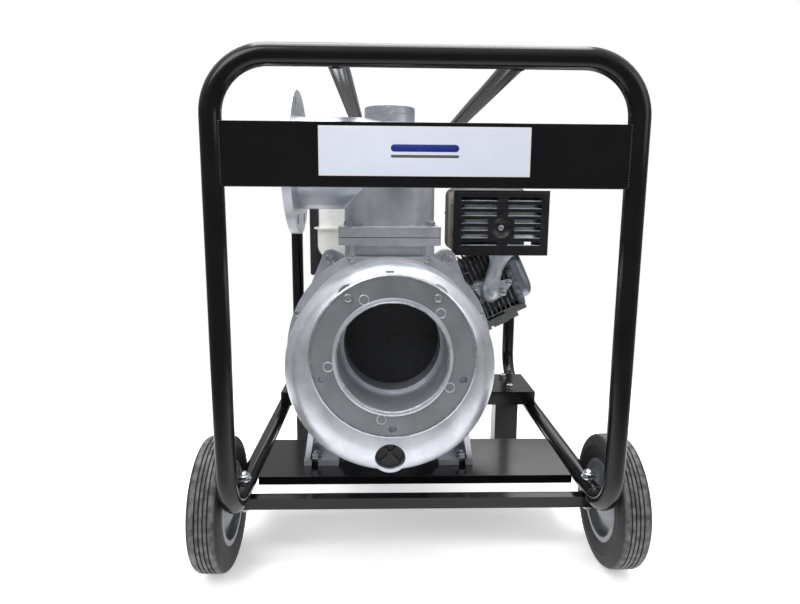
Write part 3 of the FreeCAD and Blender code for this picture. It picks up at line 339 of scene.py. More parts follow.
def fastenerTree():
    # one end of a bolt in units of its thread: washer, hexagon with a turned chamfer, dome or thread tip
    tree, given = newTree("fastenerTree", {"Hexagon": ("Float", 0.65), "Washer": ("Float", 0.2),
                                           "Washer radius": ("Float", 1.05), "Tip turns": ("Int", 3),
                                           "Dome": ("Float", 0.01), "Material": ("Material", None)})
    total = addNode(tree, "ShaderNodeMath", {0: given["Washer"], 1: given["Hexagon"]},
                    operation="ADD").outputs[0]
    halfWasher = addNode(tree, "ShaderNodeMath", {0: given["Washer"], 1: 0.5},
                         operation="MULTIPLY").outputs[0]
    halfHexagon = addNode(tree, "ShaderNodeMath", {0: given["Hexagon"], 1: -0.5, 2: total},
                          operation="MULTIPLY_ADD").outputs[0]
    washer = addNode(tree, "GeometryNodeMeshCylinder",
                     {"Vertices": 32, "Radius": given["Washer radius"], "Depth": given["Washer"]})
    hexagon = addNode(tree, "GeometryNodeMeshCylinder",
                      {"Vertices": 6, "Radius": 0.98, "Depth": given["Hexagon"]})
    chamfer = addNode(tree, "GeometryNodeMeshCone",
                      {"Vertices": 28, "Radius Top": 0.74, "Radius Bottom": 0.86, "Depth": 0.06})
    dome = addNode(tree, "GeometryNodeMeshUVSphere", {"Segments": 24, "Rings": 12, "Radius": 0.76})
    squeeze = addNode(tree, "ShaderNodeCombineXYZ", {0: 1.0, 1: 1.0, 2: given["Dome"]})
    domed = addNode(tree, "GeometryNodeTransform", {"Geometry": dome.outputs[0], "Scale": squeeze.outputs[0]})
    turnRing = addNode(tree, "GeometryNodeMeshCone",
                       {"Vertices": 20, "Radius Top": 0.42, "Radius Bottom": 0.5, "Depth": 0.14})
    line = addNode(tree, "GeometryNodeMeshLine", {"Count": given["Tip turns"], "Offset": (0, 0, 0.12)})
    thread = addNode(tree, "GeometryNodeInstanceOnPoints",
                     {"Points": line.outputs[0], "Instance": turnRing.outputs[0]})
    stack = addNode(tree, "GeometryNodeJoinGeometry")
    for part in (lifted(tree, washer.outputs[0], halfWasher), lifted(tree, hexagon.outputs[0], halfHexagon),
                 lifted(tree, chamfer.outputs[0], total), lifted(tree, domed.outputs[0], total),
                 lifted(tree, thread.outputs[0], total)):
        tree.links.new(part, stack.inputs[0])
    return endTree(tree, onSeeds(tree, given, stack.outputs[0]), given["Material"])


def ringTree():
    # a thin raised ring on each starting point, of radius one before its size is applied
    tree, given = newTree("ringTree", {"Line": ("Float", 0.06), "Material": ("Material", None)})
    circle = addNode(tree, "GeometryNodeCurvePrimitiveCircle", {"Resolution": 40, "Radius": 1.0})
    section = addNode(tree, "GeometryNodeCurvePrimitiveCircle", {"Resolution": 8, "Radius": given["Line"]})
    ring = addNode(tree, "GeometryNodeCurveToMesh",
                   {"Curve": circle.outputs[0], "Profile Curve": section.outputs[0]})
    return endTree(tree, onSeeds(tree, given, ring.outputs[0]), given["Material"])


def weldTree():
    # overlapping drops of weld along an edge path, each a little different in size
    tree, given = newTree("weldTree", {"Step": ("Float", 1.7 * mm), "Drop": ("Float", 2.4 * mm),
                                       "Seed": ("Int", 7), "Material": ("Material", None)})
    path = addNode(tree, "GeometryNodeMeshToCurve", {"Mesh": given["Geometry"]})
    even = addNode(tree, "GeometryNodeResampleCurve", {"Curve": path.outputs[0], "Length": given["Step"]},
                   mode="LENGTH")
    drop = addNode(tree, "GeometryNodeMeshIcoSphere", {"Radius": given["Drop"], "Subdivisions": 2})
    vary = addNode(tree, "FunctionNodeRandomValue", {2: 0.8, 3: 1.12, "Seed": given["Seed"]},
                   data_type="FLOAT")
    drops = addNode(tree, "GeometryNodeInstanceOnPoints",
                    {"Points": even.outputs[0], "Instance": drop.outputs[0], "Scale": vary.outputs[1]})
    return endTree(tree, drops.outputs[0], given["Material"])


def ribTree():
    # one long rounded rib on each starting point, lying across the way the point faces
    tree, given = newTree("ribTree", {"Long": ("Float", 10 * mm), "Wide": ("Float", 2 * mm),
                                      "Tall": ("Float", 2 * mm), "Material": ("Material", None)})
    ball = addNode(tree, "GeometryNodeMeshUVSphere", {"Segments": 16, "Rings": 10, "Radius": 0.5})
    shape = addNode(tree, "ShaderNodeCombineXYZ", {0: given["Long"], 1: given["Wide"], 2: given["Tall"]})
    rib = addNode(tree, "GeometryNodeTransform", {"Geometry": ball.outputs[0], "Scale": shape.outputs[0]})
    turn = addNode(tree, "GeometryNodeInputNamedAttribute", {"Name": "aim"}, data_type="FLOAT_VECTOR")
    size = addNode(tree, "GeometryNodeInputNamedAttribute", {"Name": "size"}, data_type="FLOAT")
    ribs = addNode(tree, "GeometryNodeInstanceOnPoints",
                   {"Points": given["Geometry"], "Instance": rib.outputs[0], "Rotation": turn.outputs[0],
                    "Scale": size.outputs[0]})
    return endTree(tree, ribs.outputs[0], given["Material"])


fastenerGroup, ringGroup, weldGroup, ribGroup = fastenerTree(), ringTree(), weldTree(), ribTree()
print("geometry trees built")


# ---- materials
def newMaterial(name, look):
    # colour drifts between two tones, gloss drifts with it, and a fine grain stands in the surface
    mat = bpy.data.materials.new(name)
    mat.use_nodes = True
    tree = mat.node_tree
    tree.nodes.clear()
    place = addNode(tree, "ShaderNodeTexCoord").outputs["Object"]
    patches = addNode(tree, "ShaderNodeTexNoise",
                      {"Vector": place, "Scale": 1 / look["patch"], "Detail": 5.0, "Roughness": 0.6})
    tone = addNode(tree, "ShaderNodeMapRange", {"Value": patches.outputs[0], "From Min": 0.35,
                                                "From Max": 0.65})
    colour = addNode(tree, "ShaderNodeMix", {0: tone.outputs[0], 6: linear(look["dark"]),
                                             7: linear(look["light"])}, data_type="RGBA")
    rough = addNode(tree, "ShaderNodeMapRange",
                    {"Value": patches.outputs[0], "From Min": 0.3, "From Max": 0.7,
                     "To Min": look["rough"][0], "To Max": look["rough"][1]})
    grain = addNode(tree, "ShaderNodeTexNoise", {"Vector": place, "Scale": 1 / look["grain"], "Detail": 2.0})
    bump = addNode(tree, "ShaderNodeBump",
                   {"Height": grain.outputs[0], "Distance": look["depth"], "Strength": 1.0})
    shader = addNode(tree, "ShaderNodeBsdfPrincipled",
                     {"Base Color": colour.outputs[2], "Roughness": rough.outputs[0],
                      "Normal": bump.outputs[0], "Metallic": look.get("metal", 0.0),
                      "Coat Weight": look.get("coat", 0.0)})
    shader.inputs["Coat Roughness"].default_value = look.get("coatRough", 0.1)
    shader.inputs["Specular IOR Level"].default_value = look.get("sheen", 0.5)
    if "ior" in look:
        shader.inputs["IOR"].default_value = look["ior"]
    addNode(tree, "ShaderNodeOutputMaterial", {"Surface": shader.outputs[0]})
    # upward faces mix towards a second colour: dust on most finishes, and a brownish painted reflection on
    # the black enamel
    if look.get("dust"):
        up = addNode(tree, "ShaderNodeSeparateXYZ",
                     {0: addNode(tree, "ShaderNodeTexCoord").outputs["Normal"]}).outputs[2]
        lie = addNode(tree, "ShaderNodeMapRange",
                      {"Value": up, "From Min": 0.2, "From Max": 1.0, "To Max": look["dust"]}).outputs[0]
        dustAndReflectionMask = addNode(tree, "ShaderNodeMath", {0: lie, 1: patches.outputs[0]},
                        operation="MULTIPLY").outputs[0]
        dustAndReflectionMix = addNode(tree, "ShaderNodeMix",
                        {0: dustAndReflectionMask, 6: colour.outputs[2], 7: linear(look.get("dustAndReflectionColour", "#8c8478"))},
                        data_type="RGBA")
        tree.links.new(dustAndReflectionMix.outputs[2], shader.inputs["Base Color"])
    return mat


# baked black enamel on drawn steel tube and folded sheet: wet gloss, faint orange peel, and a faint brownish
# painted reflection on its upward faces
blackEnamel = newMaterial("blackEnamel", {"dark": "#08080b", "light": "#0d0d11", "patch": 60 * mm,
                                          "rough": (0.14, 0.2), "grain": 1.6 * mm, "depth": 0.012 * mm,
                                          "coat": 0.04, "coatRough": 0.05, "sheen": 0.3, "dust": 0.05,
                                          "dustAndReflectionColour": "#4b443e"})
# die cast aluminium, shot blasted and lacquered silver: cool grey, satin, a skin of fine pebbles
castAluminium = newMaterial("castAluminium", {"dark": "#b8bcc4", "light": "#d2d5dc", "patch": 45 * mm,
                                              "rough": (0.28, 0.36), "grain": 0.9 * mm, "depth": 0.06 * mm,
                                              "metal": 0.66})
# the same alloy, coloured darker on the suction disc as painted shade, and duller and rougher
discShadeAluminium = newMaterial("discShadeAluminium", {"dark": "#75787c", "light": "#808388", "patch": 30 * mm, "rough": (0.5, 0.58),
                                "grain": 1.3 * mm, "depth": 0.08 * mm, "metal": 0.45})
# aluminium turned on a lathe: bright and smooth
turnedAluminium = newMaterial("turnedAluminium", {"dark": "#b4b8be", "light": "#cdd0d5", "patch": 10 * mm,
                                                  "rough": (0.22, 0.3), "grain": 0.5 * mm, "depth": 0.02 * mm,
                                                  "metal": 1.0})
# darker grey-green on the casting below the cylinder head
greyGreenUnderHead = newMaterial("greyGreenUnderHead", {"dark": "#5c605a", "light": "#70756d", "patch": 12 * mm, "rough": (0.5, 0.65),
                                "grain": 1.2 * mm, "depth": 0.08 * mm, "metal": 0.2})
# sand cast iron, machined only where it seals: dark, dull, coarse
castIron = newMaterial("castIron", {"dark": "#4a4a4a", "light": "#63615e", "patch": 12 * mm,
                                    "rough": (0.55, 0.75), "grain": 1.2 * mm, "depth": 0.12 * mm,
                                    "metal": 0.7})
# turned and ground steel: bright with fine tool lines
turnedSteel = newMaterial("turnedSteel", {"dark": "#a3a4a6", "light": "#c2c3c5", "patch": 8 * mm,
                                          "rough": (0.2, 0.32), "grain": 0.6 * mm, "depth": 0.02 * mm,
                                          "metal": 1.0})
# bright zinc plated fasteners: mirror-like with a cool, slightly cloudy film
zincPlate = newMaterial("zincPlate", {"dark": "#a9adb3", "light": "#d5d8dc", "patch": 3 * mm,
                                      "rough": (0.16, 0.34), "grain": 0.7 * mm, "depth": 0.02 * mm,
                                      "metal": 1.0})
# compression moulded nitrile rubber: near black, dry satin
mouldedRubber = newMaterial("mouldedRubber", {"dark": "#101214", "light": "#1b1d20", "patch": 20 * mm,
                                              "rough": (0.5, 0.66), "grain": 0.9 * mm, "depth": 0.06 * mm,
                                              "dust": 0.25})
# silver stove enamel on pressed steel rims: fine metallic flake, satin
rimEnamel = newMaterial("rimEnamel", {"dark": "#7e8288", "light": "#979ba1", "patch": 25 * mm,
                                      "rough": (0.3, 0.42), "grain": 0.8 * mm, "depth": 0.03 * mm,
                                      "metal": 0.7, "coat": 0.2, "coatRough": 0.2, "dust": 0.3})
# black engine paint on a cast head: matt, slightly dusty in the fins
headPaint = newMaterial("headPaint", {"dark": "#0f1114", "light": "#1c1f24", "patch": 14 * mm,
                                      "rough": (0.35, 0.5), "grain": 1.0 * mm, "depth": 0.08 * mm,
                                      "dust": 0.3})
# satin black enamel on thin pressed sheet: smooth with a soft sheen
satinSheet = newMaterial("satinSheet", {"dark": "#0e0e11", "light": "#15161a", "patch": 30 * mm,
                                        "rough": (0.32, 0.42), "grain": 1.4 * mm, "depth": 0.03 * mm,
                                        "coat": 0.1, "coatRough": 0.25, "sheen": 0.35, "dust": 0.15})
# silver heat-resisting coating on steel pipe and pressings: pale, dull metallic
heatCoating = newMaterial("heatCoating", {"dark": "#9da3aa", "light": "#c3c8ce", "patch": 18 * mm,
                                          "rough": (0.36, 0.5), "grain": 0.9 * mm, "depth": 0.04 * mm,
                                          "metal": 0.8})
# cream white enamel on a drawn steel tank: high gloss
creamEnamel = newMaterial("creamEnamel", {"dark": "#e6e7e1", "light": "#f0f1ed", "patch": 90 * mm,
                                          "rough": (0.14, 0.22), "grain": 5 * mm, "depth": 0.04 * mm,
                                          "coat": 0.5, "coatRough": 0.05, "dust": 0.12})
# injection moulded black plastic: fine even texture, low sheen
mouldedPlastic = newMaterial("mouldedPlastic", {"dark": "#141518", "light": "#1d1e22", "patch": 22 * mm,
                                                "rough": (0.38, 0.5), "grain": 0.8 * mm, "depth": 0.05 * mm,
                                                "ior": 1.46, "dust": 0.25})
# compressed fibre gasket: brown, dry, fibrous
gasketSheet = newMaterial("gasketSheet", {"dark": "#2e1f18", "light": "#4a3326", "patch": 6 * mm,
                                          "rough": (0.7, 0.85), "grain": 0.7 * mm, "depth": 0.1 * mm})
# sintered bronze: warm, porous
sinteredBronze = newMaterial("sinteredBronze", {"dark": "#7d5f38", "light": "#9c7a4a", "patch": 4 * mm,
                                                "rough": (0.4, 0.55), "grain": 0.5 * mm, "depth": 0.04 * mm,
                                                "metal": 1.0})
# screen printed panel under clear film: white, glossy
printedPanel = newMaterial("printedPanel", {"dark": "#e4eafb", "light": "#eaf0ff", "patch": 80 * mm,
                                            "rough": (0.2, 0.28), "grain": 6 * mm, "depth": 0.03 * mm,
                                            "coat": 0.4, "coatRough": 0.08})
# the same engine paint with bright patches, laid on the fins' front edges and the cast bars as a painted
# highlight
finEdgeHighlight = newMaterial("finEdgeHighlight", {"dark": "#1c1e22", "light": "#8d9299", "patch": 9 * mm, "rough": (0.3, 0.5),
                                "grain": 1.0 * mm, "depth": 0.05 * mm, "metal": 0.6})
# silver enamel on a deep drawn steel cover: darker and smoother than the castings; the louvres' lips take it
# too, as a painted highlight
silverCoatAndLipHighlight = newMaterial("silverCoatAndLipHighlight", {"dark": "#7d848f", "light": "#949ba6", "patch": 30 * mm,
                                      "rough": (0.26, 0.36), "grain": 2 * mm, "depth": 0.03 * mm,
                                      "metal": 0.8, "coat": 0.2, "coatRough": 0.2})
# screen printed colours on the panel
printBlue = newMaterial("printBlue", {"dark": "#12237c", "light": "#182c8f", "patch": 60 * mm,
                                      "rough": (0.22, 0.3), "grain": 6 * mm, "depth": 0.02 * mm,
                                      "coat": 0.4, "coatRough": 0.08})
printGrey = newMaterial("printGrey", {"dark": "#55564f", "light": "#62635b", "patch": 60 * mm,
                                      "rough": (0.22, 0.3), "grain": 6 * mm, "depth": 0.02 * mm,
                                      "coat": 0.4, "coatRough": 0.08})
# heat-stained shield steel: straw and brown temper colours over silver
stainedSteel = newMaterial("stainedSteel", {"dark": "#6d6155", "light": "#a39a8e", "patch": 16 * mm,
                                            "rough": (0.3, 0.45), "grain": 0.9 * mm, "depth": 0.03 * mm,
                                            "metal": 0.9})


def tyreRubber():
    # moulded tyre rubber: dark satin sidewalls, and a tread that rolling has rubbed to dusty grey
    look = {"dark": "#121114", "light": "#1c1b1f", "patch": 14 * mm, "rough": (0.55, 0.7), "grain": 0.8 * mm,
            "depth": 0.05 * mm}
    low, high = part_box("wheel_left_tyre")
    centre, radius = (low + high) / 2, (high.z - low.z) / 2
    mat = newMaterial("tyreRubber", look)
    tree = mat.node_tree
    shader = next(n for n in tree.nodes if n.type == "BSDF_PRINCIPLED")
    base = shader.inputs["Base Color"].links[0].from_socket
    place = addNode(tree, "ShaderNodeTexCoord").outputs["Object"]
    out = addNode(tree, "ShaderNodeVectorMath", {0: place, 1: (0.0, -centre.y, -centre.z)}, operation="ADD")
    flat = addNode(tree, "ShaderNodeVectorMath", {0: out.outputs[0], 1: (0.0, 1.0, 1.0)},
                   operation="MULTIPLY")
    away = addNode(tree, "ShaderNodeVectorMath", {0: flat.outputs[0]}, operation="LENGTH").outputs["Value"]
    worn = addNode(tree, "ShaderNodeMapRange", {"Value": away, "From Min": radius - 2.2 * mm,
                                                "From Max": radius - 0.4 * mm}).outputs[0]
    dust = addNode(tree, "ShaderNodeTexNoise", {"Vector": place, "Scale": 90.0, "Detail": 4.0}).outputs[0]
    amount = addNode(tree, "ShaderNodeMapRange", {"Value": dust, "From Min": 0.38, "From Max": 0.62,
                                                  "To Min": 0.25}).outputs[0]
    rubbed = addNode(tree, "ShaderNodeMath", {0: worn, 1: amount}, operation="MULTIPLY").outputs[0]
    colour = addNode(tree, "ShaderNodeMix", {0: rubbed, 6: base, 7: linear("#646466")}, data_type="RGBA")
    tree.links.new(colour.outputs[2], shader.inputs["Base Color"])
    return mat


tyreMat = tyreRubber()
print("materials made:", len(bpy.data.materials))

# each finish: its slot's name, how far its corners are eased in millimetres, and the nodes that it covers
finishes = {
    blackEnamel: ("frame_enamel", 0.7, [
        "front_hoop", "rear_hoop", "base_rail_left", "base_rail_right", "top_rail_left", "top_rail_right",
        "front_beam", "axle_beam", "pump_base_plate", "engine_base_plate", "rear_legs"]),
    zincPlate: ("zinc", 0.4, ["wheel_retainers"]),
    mouldedRubber: ("rubber", 0.8, ["leg_pads", "check_valve_flap"]),
    rimEnamel: ("rim_steel", 0.6, ["wheel_left_rim", "wheel_right_rim"]),
    sinteredBronze: ("bronze", 0.2, ["wheel_left_bush", "wheel_right_bush"]),
    castAluminium: ("cast_aluminium", 0.9, [
        "suction_cover", "pump_casing", "discharge_elbow", "rear_bracket", "priming_plug", "crankcase",
        "piston", "carburetor"]),
    castIron: ("cast_iron", 0.8, ["volute", "impeller", "flywheel"]),
    turnedSteel: ("steel", 0.3, [
        "flap_hinge_pin", "mechanical_seal", "spark_plug", "crankshaft", "connecting_rod"]),
    gasketSheet: ("gasket", 0.0, ["pump_gaskets"]),
    heatCoating: ("exhaust_steel", 0.6, ["muffler"]),
    satinSheet: ("guard_black", 0.5, ["fan_cover", "recoil_cover"]),
    creamEnamel: ("tank_cream", 1.0, ["fuel_tank"]),
    mouldedPlastic: ("black_plastic", 0.7, [
        "drain_plug", "starter_spool", "starter_handle", "fuel_cap", "air_cleaner", "choke_lever", "fuel_tap",
        "throttle_lever", "switch_box", "key_switch", "oil_plug"]),
}
for finishMaterial, (slotName, ease, members) in finishes.items():
    for nodeName in members:
        polished(nodeName, finishMaterial, ease * mm)


def paintFaces(mesh, slotNumber, test):
    for face in mesh.polygons:
        if test(face):
            face.material_index = slotNumber


def onSuctionDisc(face):
    return face.center.y < suctionFront + 2.6 * mm and face.normal.y < -0.8


# the band below the cylinder head that is coloured a darker grey-green
greyGreenBand = {"fromX": 60 * mm, "bottom": 290 * mm, "top": 330 * mm, "slope": 0.45}


def underTheHead(face):
    x, z = face.center.x, face.center.z
    return x > greyGreenBand["fromX"] and greyGreenBand["bottom"] < z < greyGreenBand["top"] + greyGreenBand["slope"] * x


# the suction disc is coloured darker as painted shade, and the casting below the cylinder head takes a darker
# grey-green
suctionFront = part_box("suction_cover")[0].y
for skin, secondTone, test in (("suction_cover_skin", discShadeAluminium, onSuctionDisc),
                                 ("crankcase_skin", greyGreenUnderHead, underTheHead)):
    skinMesh = bpy.data.objects[skin].data
    skinMesh.materials.append(secondTone)
    paintFaces(skinMesh, 1, test)
print("node skins made")


# ---- pieces made one by one
def makeTyres():
    # in millimetres: how far each groove lies from the tyre's side, and the bead on the rim
    tyre = {"grooves": (14, 20, 26, 32), "grooveHalf": 1.0, "grooveDeep": 2.4, "shoulder": 9, "rim": 60,
            "bandDown": 19, "sideWide": 13, "steps": 120}
    for side in ("left", "right"):
        low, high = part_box(f"wheel_{side}_tyre")
        wide, radius = (high.x - low.x) / mm, (high.z - low.z) / 2 / mm
        rim, band = tyre["rim"], radius - tyre["bandDown"]
        outline = [(4, rim), (3.2, rim + 3), (1.4, rim + 8), (0.3, rim + 15)]
        outline += [(0.2, band - 0.6), (0.0, band), (0.0, band + 1.4), (0.3, band + 2)]
        outline += [(a, r) for a, r in arc((tyre["shoulder"] + 0.3, radius - tyre["shoulder"] - 0.3),
                                           tyre["shoulder"], 180, 95, 7)]
        for groove in tyre["grooves"]:
            half, deep = tyre["grooveHalf"], tyre["grooveDeep"]
            outline += [(groove - half - 0.4, radius), (groove - half, radius - 0.4),
                        (groove - half + 0.2, radius - deep), (groove + half - 0.2, radius - deep),
                        (groove + half, radius - 0.4), (groove + half + 0.4, radius)]
        mirrored = [(wide - a, r) for a, r in reversed(outline) if a < tyre["sideWide"]]
        points = [(a * mm, r * mm) for a, r in outline + mirrored]
        start, hand = (low.x, 1) if side == "right" else (high.x, -1)
        points = [(start + hand * a, r) for a, r in points]
        mesh = spunMesh(points, "X", ((low.y + high.y) / 2, (low.z + high.z) / 2), tyre["steps"])
        obj = newPiece(f"wheel_{side}_tyre_skin", mesh, tyreMat)
        smoothByAngle(mesh, 28)
        rideAs(obj, f"wheel_{side}", [f"wheel_{side}_tyre"])


def boltEnds(box, axis, headLow, nut):
    # where a bolt's head and nut bear, from the box of its solid
    low, high = box
    side = "XYZ".index(axis)
    across = [high[i] - low[i] for i in range(3) if i != side]
    thread = max(across) / 2 if max(across) / min(across) > 1.1 else max(across) / 2.1
    head, tail = Vector((low + high) / 2), Vector((low + high) / 2)
    sign = 1 if headLow else -1
    near, far = (low[side], high[side]) if headLow else (high[side], low[side])
    head[side] = near + sign * 0.65 * thread
    tail[side] = far - sign * 1.35 * thread
    aim = [0.0, 0.0, 0.0]
    aim[side] = float(sign)
    return {"head": head, "headAim": [-a for a in aim], "tail": tail if nut else None, "tailAim": aim,
            "thread": thread}


def growBolts(nodeName, groups):
    # each group: its bolts, and how a head or a nut is shaped
    made = []
    for number, (ends, which, shape) in enumerate(groups):
        places = [e[which] for e in ends if e[which] is not None]
        aims = [e[which + "Aim"] for e in ends if e[which] is not None]
        sizes = [e["thread"] for e in ends if e[which] is not None]
        if places:
            made.append(grow(f"{nodeName}_{number}", seedMesh(places, aims, sizes), fastenerGroup, shape,
                             zincPlate))
    rideAs(joinMeshes(nodeName + "_skin", made), "root", [nodeName])


def makeFasteners():
    flanged = {"Hexagon": 0.46, "Washer": 0.13, "Washer radius": 1.0, "Tip turns": 0}
    plain = {"Hexagon": 0.59, "Washer": 0.01, "Washer radius": 0.9, "Tip turns": 0}
    washered = {"Hexagon": 0.59, "Washer": 0.2, "Washer radius": 1.05, "Tip turns": 0}
    nutted = {"Hexagon": 0.79, "Washer": 0.2, "Washer radius": 1.05, "Tip turns": 2}
    domed = {"Hexagon": 0.6, "Washer": 0.2, "Washer radius": 1.1, "Tip turns": 0, "Dome": 0.68}
    frameEnds = [boltEnds(box, "Z", True, True) for box in islands("frame_bolts")]
    axleEnds = [dict(e, thread=1.3 * e["thread"]) for e in frameEnds if e["head"].y < 0]
    legEnds = [e for e in frameEnds if e["head"].y > 0]
    growBolts("frame_bolts", [(frameEnds, "head", plain), (axleEnds, "tail", domed),
                              (legEnds, "tail", nutted)])
    footEnds = [boltEnds(box, "Z", True, True) for box in islands("foot_bolts")]
    growBolts("foot_bolts", [(footEnds, "head", plain), (footEnds, "tail", nutted)])

    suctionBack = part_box("suction_cover")[0].y + 14 * mm
    along, upright, suctionEnds = [], [], []
    for box in islands("pump_bolts"):
        extent = box[1] - box[0]
        if box[0].y < suctionBack:
            suctionEnds.append(box)
        elif extent.z > extent.y:
            upright.append(boltEnds(box, "Z", False, False))
        else:
            long_ = extent.y > 4.5 * max(extent.x, extent.z) / 2.1
            even = abs(extent.x - extent.z) < 0.1 * extent.x
            along.append(boltEnds(box, "Y", True, long_ and even))
    tips = [{"head": Vector(((lo.x + hi.x) / 2, lo.y + 0.5 * mm, (lo.z + hi.z) / 2)), "headAim": (0, -1, 0),
             "back": Vector(((lo.x + hi.x) / 2, hi.y - 9 * mm, (lo.z + hi.z) / 2)), "backAim": (0, 1, 0),
             "thread": 10 * mm} for lo, hi in suctionEnds]
    ends = [dict(tip, thread=6.4 * mm) for tip in tips]
    stub = {"Hexagon": 0.3, "Washer": 0.02, "Washer radius": 0.6, "Tip turns": 0}
    growBolts("pump_bolts", [(along, "head", flanged), (along, "tail", nutted), (upright, "head", washered),
                             (ends, "head", stub), (tips, "back", washered)])


def makeGuard():
    guard = {"sheet": 1.5 * mm, "slotTall": 6.6 * mm, "pitch": 14.3 * mm, "firstDown": 16.4 * mm,
             "left": (15, 85.5), "leftShort": (15, 69), "right": (106, 172), "rightShort": (119, 171),
             "dishAt": (94.3, 54), "dishRadius": 19.5 * mm, "dishDeep": 6 * mm, "dishFloor": 9 * mm,
             "rows": 7, "shortRows": (3, 4, 5), "shortSide": 30 * mm, "clipsAt": (28, 62, 98)}
    low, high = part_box("muffler_guard")
    wide, tall, deep = high.x - low.x, high.z - low.z, high.y - low.y
    slots, lips, lipLong = [], [], []
    for row in range(guard["rows"]):
        level = high.z - guard["firstDown"] - row * guard["pitch"]
        short = row in guard["shortRows"]
        for span in (guard["leftShort" if short else "left"], guard["rightShort" if short else "right"]):
            start, end = low.x + span[0] * mm, low.x + span[1] * mm
            slots.append(roundedOutline(((start + end) / 2, level), end - start, guard["slotTall"],
                                        guard["slotTall"] / 2 - 0.01 * mm, 5))
            lips.append(((start + end) / 2, low.y - 0.1 * mm, level - guard["slotTall"] / 2 - 0.4 * mm))
            lipLong.append(end - start)
    dish = (low.x + guard["dishAt"][0] * mm, low.z + guard["dishAt"][1] * mm)
    dishHole = arc(dish, guard["dishRadius"], 0, 354, 59)
    front = flatPlate("guardFront", [roundedOutline(((low.x + high.x) / 2, (low.z + high.z) / 2), wide,
                                                    tall, 1.5 * mm), dishHole] + slots, guard["sheet"],
                      0.3 * mm, standing(0, low.y + guard["sheet"] / 2, 0), satinSheet)
    top = flatPlate("guardTop", [roundedOutline(((low.x + high.x) / 2, (low.y + high.y) / 2), wide, deep,
                                                1 * mm)], guard["sheet"], 0.3 * mm,
                    standing(0, 0, high.z - guard["sheet"] / 2, "Z"), satinSheet)
    right = flatPlate("guardRight", [roundedOutline(((low.y + high.y) / 2, (low.z + high.z) / 2), deep,
                                                    tall, 1 * mm)], guard["sheet"], 0.3 * mm,
                      standing(high.x - guard["sheet"] / 2, 0, 0, "X"), satinSheet)
    left = flatPlate("guardLeft", [roundedOutline((low.y + guard["shortSide"] / 2, (low.z + high.z) / 2),
                                                  guard["shortSide"], tall, 1 * mm)],
                     guard["sheet"], 0.3 * mm, standing(low.x + guard["sheet"] / 2, 0, 0, "X"), satinSheet)
    ridge = flatPlate("guardRidge", [roundedOutline(((low.x + high.x) / 2, high.z - 5.5 * mm), wide - 6 * mm,
                                                    2.2 * mm, 1 * mm)],
                      1.2 * mm, 0.5 * mm, standing(0, low.y, 0), satinSheet)
    # the dish is pressed in round its screw, which stands on a small flat floor
    r, wall, floor, inner = guard["dishRadius"], guard["sheet"], low.y + guard["dishDeep"], guard["dishFloor"]
    outline = [(low.y, r), (low.y + 1 * mm, r - 1.2 * mm), (floor, inner), (floor + 0.3 * mm, 0),
               (floor + 0.3 * mm + wall, 0), (floor + wall, inner + 0.5 * mm), (low.y + wall, r - 0.5 * mm),
               (low.y + wall, r)]
    bowl = newPiece("guardDish", spunMesh(outline, "Y", dish, 64), satinSheet)
    smoothByAngle(bowl.data, 40)
    screw = grow("guardScrew", seedMesh([(dish[0], floor, dish[1])], [(0, -1, 0)], [5.2 * mm]),
                 fastenerGroup, {"Hexagon": 0.5, "Washer": 0.16, "Washer radius": 1.15, "Tip turns": 1},
                 zincPlate)
    edges = []
    # each slot's lower lip is coloured silver: a painted highlight on the black sheet's pressed lip
    for place, long_ in zip(lips, lipLong):
        edges.append(grow("lip", seedMesh([place], [(0, 0, 0)]), ribGroup,
                          {"Long": long_, "Wide": 2.6 * mm, "Tall": 2.2 * mm}, silverCoatAndLipHighlight))
    # the stained shield that stands just inside the guard's left side, with its three clips
    shield = flatPlate("shield", [roundedOutline((low.y + 62 * mm, (low.z + high.z) / 2 + 4 * mm), 86 * mm,
                                                 tall - 12 * mm, 5 * mm)], 1.2 * mm, 0.3 * mm,
                       standing(low.x + 0.8 * mm, 0, 0, "X"), stainedSteel)
    clips = [flatPlate(f"clip{n}", [roundedOutline((low.y + 34 * mm, low.z + z * mm), 12 * mm, 5 * mm,
                                                   1 * mm)], 3 * mm, 0.6 * mm,
                       standing(low.x - 0.2 * mm, 0, 0, "X"), stainedSteel) for n,
             z in enumerate(guard["clipsAt"])]
    whole = joinMeshes("muffler_guard_skin", [front, top, right, left, ridge, bowl, screw, shield] + clips
                       + edges)
    rideAs(whole, "root", ["muffler_guard"])


